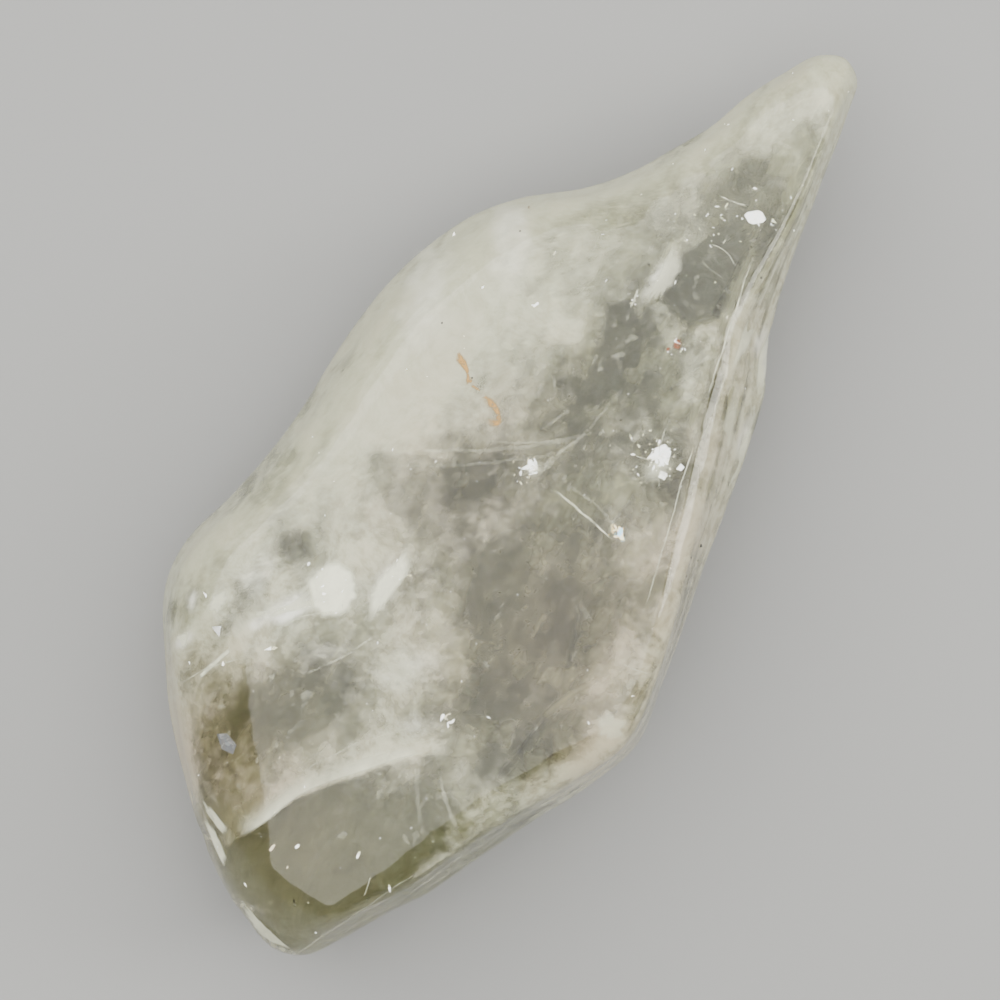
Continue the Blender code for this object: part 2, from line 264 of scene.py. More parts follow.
def stone_surface(turn, y):
    """The stone's surface (x, y, z) for a turn round a section from 0 to 1 and a station y. Each
    section is a seven-cornered polygon with softened corners, stretched between the two rims."""
    shape = np.broadcast_shapes(np.shape(turn), np.shape(y))
    turn, y = (np.broadcast_to(a, shape).ravel() for a in (turn, y))
    left, right = rims(y)
    from_end = np.minimum((y + REACH) / TAIL_ROUND, (REACH - y) / TIP_ROUND).clip(0, 1)
    across, height, softness = section_corners(y, from_end)
    corner, way = np.divmod(turn % 1 * CORNERS, 1)
    corner = corner.astype(int) % CORNERS
    node = np.arange(len(y))
    first = soft_min(2 * way, 1.0, softness[corner, node])
    second = 2 * way - first

    def walk(values):
        """From the middle of the edge before the corner, round it, to the middle of the next edge."""
        before, here, after = (values[(corner + step) % CORNERS, node] for step in (-1, 0, 1))
        return (before + here) / 2 + (here - before) / 2 * first + (after - here) / 2 * second

    high = across[0] - drawn_in(across[0], across[6], across[1], softness[0])
    low = across[4] + drawn_in(across[4], across[3], across[5], softness[4])
    share = (walk(across) - low) / (high - low)
    return np.stack([left + (right - left) * share, y, walk(height)], -1).reshape(*shape, 3)


class Depths:
    """Heights of the stone's front, and of its back with the creases rounded, over its outline, read
    at any (x, y)."""

    STATIONS, SHARES, TURNS = 420, 240, 160
    EVENED = 12  # cells to each side that the back's heights are evened over
    MOST_RISE = 0.3  # share of the thickness that the evened back may rise into the stone

    def __init__(self):
        self.y = np.linspace(-REACH, REACH, self.STATIONS + 2)[1:-1]
        self.share = np.linspace(0, 1, self.SHARES)
        self.left, self.right = rims(self.y)
        sweep = np.linspace(0, 1, self.TURNS)[None, :]
        over = RIGHT_TURN - LEFT_TURN
        sides = (LEFT_TURN + over * sweep, LEFT_TURN + (1 + over) * sweep)
        self.front, back = (self.heights(stone_surface(turn, self.y[:, None])) for turn in sides)
        self.back = np.minimum(self.evened(back), back + self.MOST_RISE * (self.front - back))

    def heights(self, surface):
        """The heights of rows of surface points, read at even shares of the way across."""
        rows = []
        for row, left, right in zip(surface, self.left, self.right):
            share = np.maximum.accumulate((row[:, 0] - left) / (right - left))
            rows.append(np.interp(self.share, share, row[:, 2]))
        return np.array(rows)

    def evened(self, grid):
        """A grid with its creases rounded by running means along both axes, taken twice."""
        reach = self.EVENED
        for axis in (0, 1, 0, 1):
            pad = [(reach + 1, reach) if side == axis else (0, 0) for side in (0, 1)]
            total = np.moveaxis(np.pad(grid, pad, mode="edge").cumsum(axis), axis, 0)
            grid = np.moveaxis(total[2 * reach + 1:] - total[:-2 * reach - 1], 0, axis) / (2 * reach + 1)
        return grid

    def share_at(self, x, y):
        left, right = np.interp(y, self.y, self.left), np.interp(y, self.y, self.right)
        return (x - left) / (right - left)

    def read(self, x, y):
        """(back height, front height) at (x, y), by bilinear steps between the stored heights."""
        row = np.clip((y - self.y[0]) / (self.y[1] - self.y[0]), 0, self.STATIONS - 1.001)
        col = np.clip(self.share_at(x, y), 0, 1) * (self.SHARES - 1.001)
        i, j = row.astype(int), col.astype(int)
        u, v = row - i, col - j

        def height(grid):
            here, next_row = (grid[n, j] * (1 - v) + grid[n, j + 1] * v for n in (i, i + 1))
            return here * (1 - u) + next_row * u

        return height(self.back), height(self.front)


DEPTHS = Depths()


def at_depth(x, y, depth):
    """Points at (x, y), a share of the way up from the stone's back (0) to its front (1)."""
    back, front = DEPTHS.read(x, y)
    return np.stack([x, y, back + (front - back) * depth], -1)


def on_face(x, y):
    """Points at (x, y) a hair above the stone's front."""
    return at_depth(x, y, np.ones(np.shape(x))) + np.array([0, 0, FACE_LIFT])


def on_axis(dx, dy, degrees):
    """A step (dx, dy) measured along and across an axis turned from +Y towards -X."""
    c, s = np.cos(np.radians(degrees)), np.sin(np.radians(degrees))
    return dy * c - dx * s, dx * c + dy * s


def off_axis(along, across, degrees):
    """The step (dx, dy) that goes that far along and across such an axis."""
    c, s = np.cos(np.radians(degrees)), np.sin(np.radians(degrees))
    return across * c - along * s, along * c + across * s


def spots(x, y, rows):
    """The sum of soft oval spots: each falls off with the bell curve of its distance, counted in
    half lengths along its own turned axis and half widths across it."""
    px, py, length, width, turn, strength = np.array(rows, float).T
    along, across = on_axis(x[..., None] - px, y[..., None] - py, turn)
    return (strength * np.exp(-((along / length) ** 2) - (across / width) ** 2)).sum(-1)


def waves(x, y, wavelength, seed, octaves=3):
    """Rolling noise about 0: plane waves of random turns and phases, each octave of half the
    wavelength and half the height."""
    rng = np.random.default_rng(seed)
    total = np.zeros(np.shape(x))
    for octave in range(octaves):
        turn, phase = rng.uniform(0, 2 * np.pi, (2, WAVES_PER_OCTAVE))
        k = 2 * np.pi * 2**octave / wavelength
        wave = np.sin(k * (x[..., None] * np.cos(turn) + y[..., None] * np.sin(turn)) + phase)
        total += wave.sum(-1) / np.sqrt(WAVES_PER_OCTAVE) / 2**octave
    return total


def lattice(seed):
    """A square table of even random numbers that the noises below read round and round."""
    return np.random.default_rng(seed).random((LATTICE_SIZE, LATTICE_SIZE))


def clouds(x, y, size, seed, octaves=5, fade=0.55):
    """Fractal noise from 0 to 1: random values on a square lattice, smoothly blended between its
    points. Each octave is half as large and weaker by fade."""
    total, weight, reach = np.zeros(np.shape(x)), 1.0, 0.0
    for octave in range(octaves):
        table = lattice(seed + octave)
        px, py = x / size + 37.0, y / size + 71.0
        i, j = np.floor(px).astype(int), np.floor(py).astype(int)
        u, v = px - i, py - j
        u, v = u * u * (3 - 2 * u), v * v * (3 - 2 * v)
        i, j, i1, j1 = (n % LATTICE_SIZE for n in (i, j, i + 1, j + 1))
        low = table[i, j] * (1 - u) + table[i1, j] * u
        high = table[i, j1] * (1 - u) + table[i1, j1] * u
        total += weight * (low * (1 - v) + high * v)
        reach += weight
        size, weight = size / 2, weight * fade
    return total / reach


def cells(x, y, size, seed):
    """(value, edge) of angular flakes: each point takes the random value of the nearest of the
    scattered seeds, and edge is how much nearer that one is than the next, in cell sizes."""
    table_x, table_y, table_v = lattice(seed), lattice(seed + 1), lattice(seed + 2)
    px, py = x / size + 37.0, y / size + 71.0
    i, j = np.floor(px).astype(int), np.floor(py).astype(int)
    nearest, second = np.full(np.shape(x), 9.0), np.full(np.shape(x), 9.0)
    value = np.zeros(np.shape(x))
    for di in (-1, 0, 1):
        for dj in (-1, 0, 1):
            a, b = (i + di) % LATTICE_SIZE, (j + dj) % LATTICE_SIZE
            gap = np.hypot(i + di + table_x[a, b] - px, j + dj + table_y[a, b] - py)
            closer = gap < nearest
            second = np.where(closer, nearest, np.minimum(second, gap))
            value = np.where(closer, table_v[a, b], value)
            nearest = np.where(closer, gap, nearest)
    return value, second - nearest


def milk(x, y, soft):
    """How milky the quartz is at (x, y), from 0 for clear to 1. Along the fracture's lower edge it
    jumps up on the side of the tip and down on the side of the tail, within the width soft, and
    eases off both ways."""
    edge_x, edge_y = np.array(FRACTURE_EDGE).T
    above = y - np.interp(x, edge_x, edge_y)
    near = soft_step(edge_x[0] - 0.5, edge_x[0] + 0.3, x)
    near = near * (1 - soft_step(edge_x[-1] - 0.4, edge_x[-1] + 0.4, x))
    jump = soft_step(-soft, soft, above)
    lift = jump * 0.5 * np.exp(-np.abs(above) / 1.7) - (1 - jump) * 0.35 * np.exp(-np.abs(above) / 2.5)
    return MILK_BASE + spots(x, y, MILK_SPOTS) + near * lift


def texture(x, y, seed):
    """(shake, crack) of the milk: clouds, angular flakes and streaks along the stone, all pushed
    about by softer clouds, and thin lines where two flakes meet."""
    px, py = x + 1.2 * (clouds(x, y, 2.5, seed) - 0.5), y + 1.2 * (clouds(x, y, 2.5, seed + 50) - 0.5)
    cloud = clouds(px, py, 3.6, seed + 1, 7, 0.66) - 0.5
    flake, edge = cells(px, py, 1.3, seed + 2)
    streak = clouds(px + 0.2 * py, 0.25 * py, 0.7, seed + 3, 4, 0.65) - 0.5
    return 2.2 * cloud + 0.4 * (flake - 0.5) + 1.2 * streak, soft_step(0.07, 0.0, edge)


def white(x, y):
    """How white the quartz is at (x, y): 1 in the middle of the white patches, 0 outside them. Each
    is an oval, its rim shaken by clouds."""
    shake = clouds(x, y, 0.9, 300, 4, 0.6) - 0.5
    total = np.zeros(np.shape(x))
    for px, py, length, width, turn, strength in WHITE_PATCHES:
        along, across = on_axis(x - px, y - py, turn)
        out = np.hypot(along / length, across / width) + 1.1 * shake
        total = np.maximum(total, strength * soft_step(1.35, 0.35, out))
    return total * (0.75 + 1.0 * (clouds(x, y, 0.45, 310, 3, 0.6) - 0.5))


def panes(x, y):
    """(clear, milky) at (x, y): how strongly the panes that hold the point clear it or cloud it. A
    point's distance inside a pane is the least of its distances to the lines of the sides, shaken a
    little."""
    shake = 0.16 * (clouds(x, y, 0.5, 330, 4, 0.6) - 0.5)
    clear, milky = np.zeros(np.shape(x)), np.zeros(np.shape(x))
    for strength, corners in PANES:
        corners = np.array(corners)
        step = np.roll(corners, -1, 0) - corners
        turning = np.sign(step[0, 0] * step[1, 1] - step[0, 1] * step[1, 0])
        step = step / np.linalg.norm(step, axis=1, keepdims=True) * -turning
        away = (x[..., None] - corners[:, 0]) * step[:, 1] - (y[..., None] - corners[:, 1]) * step[:, 0]
        share = abs(strength) * soft_step(*PANE_EDGE, away.min(-1) + shake)
        if strength < 0:
            clear = np.maximum(clear, share)
        else:
            milky = np.maximum(milky, share)
    return clear, milky


def new_object(name, points, faces, material, smooth=True, **attributes):
    """A mesh object from an array of points in millimetres and a list of face arrays. The attributes
    hold one number or one vector for each point."""
    mesh = bpy.data.meshes.new(name)
    faces = [face for block in faces for face in block.tolist()]
    mesh.from_pydata((points.reshape(-1, 3) * MM).tolist(), [], faces)
    for key, values in attributes.items():
        kind, field = ("FLOAT_VECTOR", "vector") if values.shape[-1:] == (3,) else ("FLOAT", "value")
        mesh.attributes.new(key, kind, "POINT").data.foreach_set(field, values.ravel().astype(np.float32))
    if smooth:
        mesh.shade_smooth()
    mesh.materials.append(material)
    mesh.validate()
    piece = bpy.data.objects.new(name, mesh)
    bpy.context.scene.collection.objects.link(piece)
    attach(piece, BODY)
    return piece


def grid_faces(rows, cols, wrap=False):
    """Quads of a grid of rows by cols points, numbered row by row. Wrapped, it closes on itself."""
    ids = np.arange(rows * cols).reshape(rows, cols)
    if wrap:
        ids = np.hstack([ids, ids[:, :1]])
    return np.stack([ids[:-1, :-1], ids[:-1, 1:], ids[1:, 1:], ids[1:, :-1]], -1).reshape(-1, 4)


def band(knots, reach, depths, seed, wobble):
    """A sheet along a path: (x, y, z) points of rows along it by columns across it, with each
    point's share of the way along and across. A row stands square to the path, from reach[0] to
    its left to reach[1] to its right, and its depth goes from depths[0] to depths[1], or it lies on
    the face where there are none. A wobble makes the path and the width uneven."""
    knots = np.array(knots, float)
    gone = np.concatenate([[0], np.cumsum(np.hypot(*np.diff(knots, axis=0).T[:2]))])
    rows = int(np.clip(gone[-1] / BAND_STEP, 6, 260)) + 1
    along = np.linspace(0, 1, rows)
    path = np.stack([through(np.stack([gone, column], -1), along * gone[-1]) for column in knots.T], -1)
    size = path[:, 2:3] if knots.shape[1] > 2 else 1.0
    cols = int(np.clip((reach[0] + reach[1]) / BAND_STEP, 3, 90)) + 1
    across = np.linspace(0, 1, cols)[None, :]
    step = np.gradient(path[:, :2], axis=0)
    step /= np.linalg.norm(step, axis=1, keepdims=True)
    far = (along * gone[-1])[:, None]
    wider, aside = waves(far, 0 * far, 1.1, seed + 7, 3), waves(far, 0 * far, 1.9, seed + 9, 4)
    off = (across * (reach[0] + reach[1]) - reach[0]) * size * (1 + 6 * wobble * wider) + wobble * aside
    x, y = path[:, :1] + step[:, 1:] * off, path[:, 1:2] - step[:, :1] * off
    shares = along[:, None] + 0 * across, across + 0 * along[:, None]
    if depths is None:
        return on_face(x, y), *shares
    depth = depths[0] + (depths[1] - depths[0]) * across + 0.02 * waves(x, y, 3.0, seed, 2)
    return at_depth(x, y, np.clip(depth, *INNER_DEPTHS)), *shares


def blot(x, y, half_length, half_width, turn, depth, seed, tilt=0.05):
    """An irregular oval leaf: points of rings by spokes, each with its share of the way out. The
    rim is an ellipse, pushed in and out by a few waves round it."""
    out = np.linspace(0.04, 1, max(6, int(half_length / 0.12)))[:, None]
    spoke = (np.arange(BLOT_SPOKES) * 2 * np.pi / BLOT_SPOKES)[None, :]
    rng = np.random.default_rng(seed)
    dents = (rng.uniform(-0.16, 0.16) * np.cos(n * spoke + rng.uniform(0, 6.3)) for n in (2, 3, 4, 5, 7))
    rim = 1 + sum(dents)
    along, across = half_length * out * rim * np.cos(spoke), half_width * out * rim * np.sin(spoke)
    dx, dy = off_axis(along, across, turn)
    if depth is None:
        return on_face(x + dx, y + dy), out + 0 * spoke
    lean = rng.uniform(-1, 1) * along / half_length + rng.uniform(-1, 1) * across / half_width
    level = depth + tilt * lean
    return at_depth(x + dx, y + dy, np.clip(level, *INNER_DEPTHS)), out + 0 * spoke


class Pile:
    """Sheets gathered into one mesh, with their haze and tone."""

    def __init__(self):
        self.points, self.faces, self.haze, self.tone, self.count = [], [], [], [], 0

    def add(self, points, faces, haze, tone=1.0):
        haze = np.asarray(haze, float).ravel()
        self.points.append(points.reshape(-1, 3))
        self.faces += [block + self.count for block in faces]
        self.haze.append(np.clip(haze, 0, 1))
        self.tone.append(np.clip(np.broadcast_to(np.asarray(tone, float).ravel(), haze.shape), 0, 1))
        self.count += len(haze)

    def add_rings(self, points, haze, tone, flip=False):
        """Rings of points round a middle, which a fan of triangles closes."""
        rows, cols = haze.shape
        ring = np.arange(cols)
        fan = np.stack([np.full(cols, rows * cols), np.roll(ring, -1), ring], -1)
        faces = [grid_faces(rows, cols, wrap=True), fan]
        if flip:
            faces = [block[:, ::-1] for block in faces]
        points = np.concatenate([points.reshape(-1, 3), points[0].mean(0, keepdims=True)])
        self.add(points, faces, np.append(haze, haze[0].mean()), tone)

    def band(self, knots, reach, depths, strength, fades, tone, seed, grain, tips=0.15, size=0.6, wobble=0.0):
        """A band whose haze fades over a share of its width at each side and of its length at each
        end, and is shaken by clouds."""
        points, along, across = band(knots, reach, depths, seed, wobble)
        x, y = points[..., 0], points[..., 1]
        haze = soft_step(0, fades[0], across) * soft_step(0, fades[1], 1 - across)
        haze = haze * soft_step(0, tips, along) * soft_step(0, tips, 1 - along)
        shake = 1 + 2 * grain * (clouds(x + 0.2 * y, 0.35 * y, size, seed + 1, 4) - 0.5)
        self.add(points, [grid_faces(*points.shape[:2])], strength * haze * np.clip(shake, 0, 2), tone)

    def blot(self, x, y, half_length, half_width, turn, depth, strength, crisp, tone, seed, hole=0.0):
        """A blot whose haze fades from the share crisp of the way out to its rim. A hole thins its
        middle."""
        points, out = blot(x, y, half_length, half_width, turn, depth, seed)
        shake = 1 + 0.7 * (clouds(points[..., 0], points[..., 1], 0.5, seed + 1, 4) - 0.5)
        haze = strength * soft_step(1, crisp, out) * (1 - hole * soft_step(0.5, 0.2, out)) * shake
        self.add_rings(points, haze, tone)

    def leaf(self, strength, ragged, crisp, tone, corners, seed):
        """A leaf on the face with the given rounded outline, as rings about its middle. The rim is
        shaken by waves, the haze fades from the share crisp of the way out to the rim, and clouds
        leave holes in it."""
        outline = closed_curve(corners, max(4, 48 // len(corners)))
        middle = outline.mean(0)
        rim = outline - middle
        reach = np.hypot(*rim.T).max()
        spin = np.arange(len(rim)) / len(rim) * 2 * np.pi
        rim = rim * (1 + ragged * waves(np.cos(spin) * reach, np.sin(spin) * reach, 0.9, seed, 4))[:, None]
        out = np.linspace(0.05, 1, max(6, int(reach / 0.11)))[:, None]
        flat = middle + out[..., None] * rim
        points = on_face(flat[..., 0], flat[..., 1])
        cloud = clouds(points[..., 0], points[..., 1], 0.5, seed + 1, 4, 0.65)
        shake = (1 + 0.6 * (cloud - 0.5)) * soft_step(0.12, 0.40, cloud + 0.35 * soft_step(1.0, 0.4, out))
        clockwise = np.cross(rim, np.roll(rim, -1, 0)).sum() < 0
        self.add_rings(points, strength * soft_step(1, crisp, out) * shake, tone, flip=not clockwise)

    def make(self, name, material):
        return new_object(
            name, np.concatenate(self.points), self.faces, material,
            haze=np.concatenate(self.haze), tone=np.concatenate(self.tone),
        )


class Tree:
    """A material's node tree: each call adds one node, with values set and sockets joined."""

    def __init__(self, name):
        self.material = bpy.data.materials.new(name)
        self.material.use_nodes = True
        self.nodes, self.links = self.material.node_tree.nodes, self.material.node_tree.links
        self.shader = self.nodes["Principled BSDF"]
        self.output = self.nodes["Material Output"]
        self.place = self.nodes.new("ShaderNodeTexCoord").outputs["Object"]

    def feed(self, socket, value):
        if isinstance(value, bpy.types.NodeSocket):
            self.links.new(value, socket)
        else:
            socket.default_value = value

    def add(self, kind, inputs, output=0, **settings):
        node = self.nodes.new(kind)
        for key, value in settings.items():
            setattr(node, key, value)
        for key, value in inputs.items():
            self.feed(node.inputs[key], value)
        return node.outputs[output]

    def math(self, operation, *values):
        return self.add("ShaderNodeMath", dict(enumerate(values)), operation=operation)

    def noise(self, scale, detail, roughness=0.6, vector=None):
        inputs = {"Vector": vector or self.place, "Scale": scale, "Detail": detail, "Roughness": roughness}
        return self.add("ShaderNodeTexNoise", inputs, "Fac")

    def ramp(self, value, low, high, to_low=0.0, to_high=1.0):
        inputs = {"Value": value, "From Min": low, "From Max": high, "To Min": to_low, "To Max": to_high}
        return self.add("ShaderNodeMapRange", inputs, interpolation_type="SMOOTHSTEP")

    def mix(self, share, a, b):
        return self.add("ShaderNodeMix", {0: share, 6: a, 7: b}, 2, data_type="RGBA")

    def attribute(self, name, output="Fac"):
        return self.add("ShaderNodeAttribute", {}, output, attribute_name=name)

    def set(self, **inputs):
        for key, value in inputs.items():
            self.feed(self.shader.inputs[key.replace("_", " ")], value)
        return self.material


def colour(name, description, *default):
    """A colour that the user may change."""
    return FloatVectorProperty(
        name=name, description=description, default=(*default, 1.0), subtype="COLOR", size=4, min=0, max=1,
    )


def amount(name, description, default, most):
    """A plain number that the user may change."""
    return FloatProperty(name=name, description=description, default=default, min=0, max=most)


def power(name, description, default):
    """The power of a light."""
    return FloatProperty(name=name, description=description, default=default, min=0, unit="POWER")


class QuartzSettings(PropertyGroup):
    """Looks of the quartz itself."""

    absorb_colour: colour("Absorb colour", "Colour that the clear quartz lets through", 0.63, 0.65, 0.52)
    absorb_density: amount("Absorb density", "How strongly the clear quartz tints, per metre", 88.0, 1000)
    roughness: amount("Polish", "Roughness of the hand polish", 0.03, 1)
    surface_milk: amount("Surface milk", "How milky the haziest quartz is at its surface", 0.63, 1)
    white_colour: colour("White patches", "Colour of the white patches", 0.99, 0.995, 0.97)
    surface_colour: colour("Surface colour", "Colour of the milky quartz at its surface", 0.82, 0.835, 0.63)
    shade_colour: colour("Shade colour", "Colour of the mottles in the milky quartz", 0.62, 0.615, 0.43)
    warm_colour: colour("Warm colour", "Colour of the warm quartz at the tail and right", 0.76, 0.655, 0.48)
    wisps: amount("Wisps", "How much wisps break up the milk", 0.75, 3)
    threads: amount("Threads", "How milky the fine threads are", 0.2, 1)
    relief: amount("Relief", "Height of the soft waves of the hand polish, in millimetres", 0.012, 0.2)


class VeilSettings(PropertyGroup):
    """Colours of the veils, bands, patches and stains in it."""

    milk_colour: colour("Milk", "Colour of the densest veils", 0.92, 0.935, 0.74)
    shade_colour: colour("Thin veil", "Colour of the thinnest veils", 0.58, 0.57, 0.46)
    rust_colour: colour("Rust", "Colour of the rust streak", 0.52, 0.30, 0.09)
    red_colour: colour("Red spots", "Colour of the red iron spots", 0.30, 0.10, 0.05)


class StageSettings(PropertyGroup):
    """Floor, lights and camera."""

    floor_colour: colour("Floor colour", "Colour of the plain floor", 0.345, 0.348, 0.356)
    floor_size: FloatProperty(
        name="Floor size", description="Side of the floor", default=3.0, min=0.5, unit="LENGTH",
    )
    key_power: power("Key light", "Power of the soft key light", 28.5)
    side_power: power("Side light", "Power of the low light at the left", 0.4)
    fill_power: power("Fill light", "Power of the fill light", 1.5)
    sky_strength: amount("Sky", "Strength of the even light all round", 0.3, 10)
    lens: FloatProperty(
        name="Lens", description="Focal length in millimetres", default=150.0, min=20, max=300,
    )


class StoneSettings(PropertyGroup):
    """All the settings, kept with the scene."""

    quartz: PointerProperty(type=QuartzSettings)
    veil: PointerProperty(type=VeilSettings)
    stage: PointerProperty(type=StageSettings)


def quartz_material(settings):
    """Polished quartz: plain transmission where it is clear, less of it where the milk attribute
    says that it is milky up to its surface, and frosted chips where the frost attribute says. Wisps
    and threads of noise, read at the bent places, break up the milk, and its colour goes from shade
    to pale with the wisps."""
    tree = Tree("clear_quartz")
    frost, milky, pale = tree.attribute("frost"), tree.attribute("milk"), tree.attribute("pale")
    bent = tree.attribute("bent", "Vector")
    cloud = tree.noise(1300.0, 3.0, 0.7, bent)
    thread = tree.math("ABSOLUTE", tree.math("SUBTRACT", tree.noise(400.0, 4.0, 0.68, bent), 0.5))
    thread = tree.ramp(thread, 0.0, 0.022, settings.threads, 0.0)
    thread = tree.math("MULTIPLY", thread, tree.attribute("threaded"))
    wisps = tree.math("MULTIPLY", tree.math("SUBTRACT", cloud, 0.5), tree.attribute("broken"))
    share = tree.math("MULTIPLY_ADD", wisps, settings.wisps, milky)
    share = tree.math("MAXIMUM", tree.ramp(share, 0.0, 1.0), thread)
    share = tree.math("MULTIPLY", share, tree.math("MULTIPLY_ADD", pale, 0.4, settings.surface_milk))
    colour = tree.mix(tree.ramp(wisps, -0.14, 0.10), settings.shade_colour, settings.surface_colour)
    colour = tree.mix(tree.attribute("warm"), colour, settings.warm_colour)
    absorption = {"Color": settings.absorb_colour, "Density": settings.absorb_density}
    tree.links.new(tree.add("ShaderNodeVolumeAbsorption", absorption), tree.output.inputs["Volume"])
    cloudy = tree.math("MAXIMUM", share, tree.math("MULTIPLY", frost, 0.8))
    return tree.set(
        Base_Color=tree.mix(pale, colour, settings.white_colour), IOR=QUARTZ_IOR,
        Roughness=tree.math("MULTIPLY_ADD", frost, 0.4, settings.roughness),
        Transmission_Weight=tree.math("SUBTRACT", 1.0, cloudy),
    )


def veil_material(settings):
    """Milky veils: the denser the higher the haze attribute, and the whiter the higher the tone."""
    if "milky_veil" in bpy.data.materials:
        return bpy.data.materials["milky_veil"]
    tree = Tree("milky_veil")
    return tree.set(
        Base_Color=tree.mix(tree.attribute("tone"), settings.shade_colour, settings.milk_colour),
        Alpha=tree.attribute("haze"), Roughness=0.6,
    )


def stain_material(settings):
    """Rust: orange brown in the streak and red brown in the spots, broken up by grain."""
    tree = Tree("rust_stain")
    grain = tree.ramp(tree.noise(5200.0, 3.0, 0.7), 0.36, 0.54, 0.3, 1.0)
    return tree.set(
        Base_Color=tree.mix(tree.attribute("tone"), settings.red_colour, settings.rust_colour),
        Alpha=tree.math("MULTIPLY", tree.attribute("haze"), grain), Roughness=0.7,
    )


def grain_material():
    """Dark mineral grains, mottled."""
    tree = Tree("dark_grain")
    mottle = tree.mix(tree.noise(9000.0, 3.0), (0.03, 0.03, 0.03, 1.0), (0.09, 0.08, 0.07, 1.0))
    return tree.set(Base_Color=mottle, Roughness=0.5)


def flake_material():
    """Mirror-like flakes, frosted a little. Thin-film colours tint them, most where the rainbow
    attribute is high."""
    if "bright_flake" in bpy.data.materials:
        return bpy.data.materials["bright_flake"]
    tree = Tree("bright_flake")
    film = tree.ramp(tree.noise(3600.0, 1.0), 0.44, 0.56)
    hue = tree.mix(film, (0.40, 0.72, 1.0, 1.0), (1.0, 0.84, 0.52, 1.0))
    share = tree.math("MULTIPLY_ADD", tree.attribute("rainbow"), 0.85, 0.08)
    tint = tree.mix(share, (0.97, 0.98, 0.98, 1.0), hue)
    polish = tree.ramp(tree.noise(4000.0, 2.0), 0.3, 0.7, 0.1, 0.3)
    return tree.set(Base_Color=tint, Metallic=1.0, Roughness=polish)


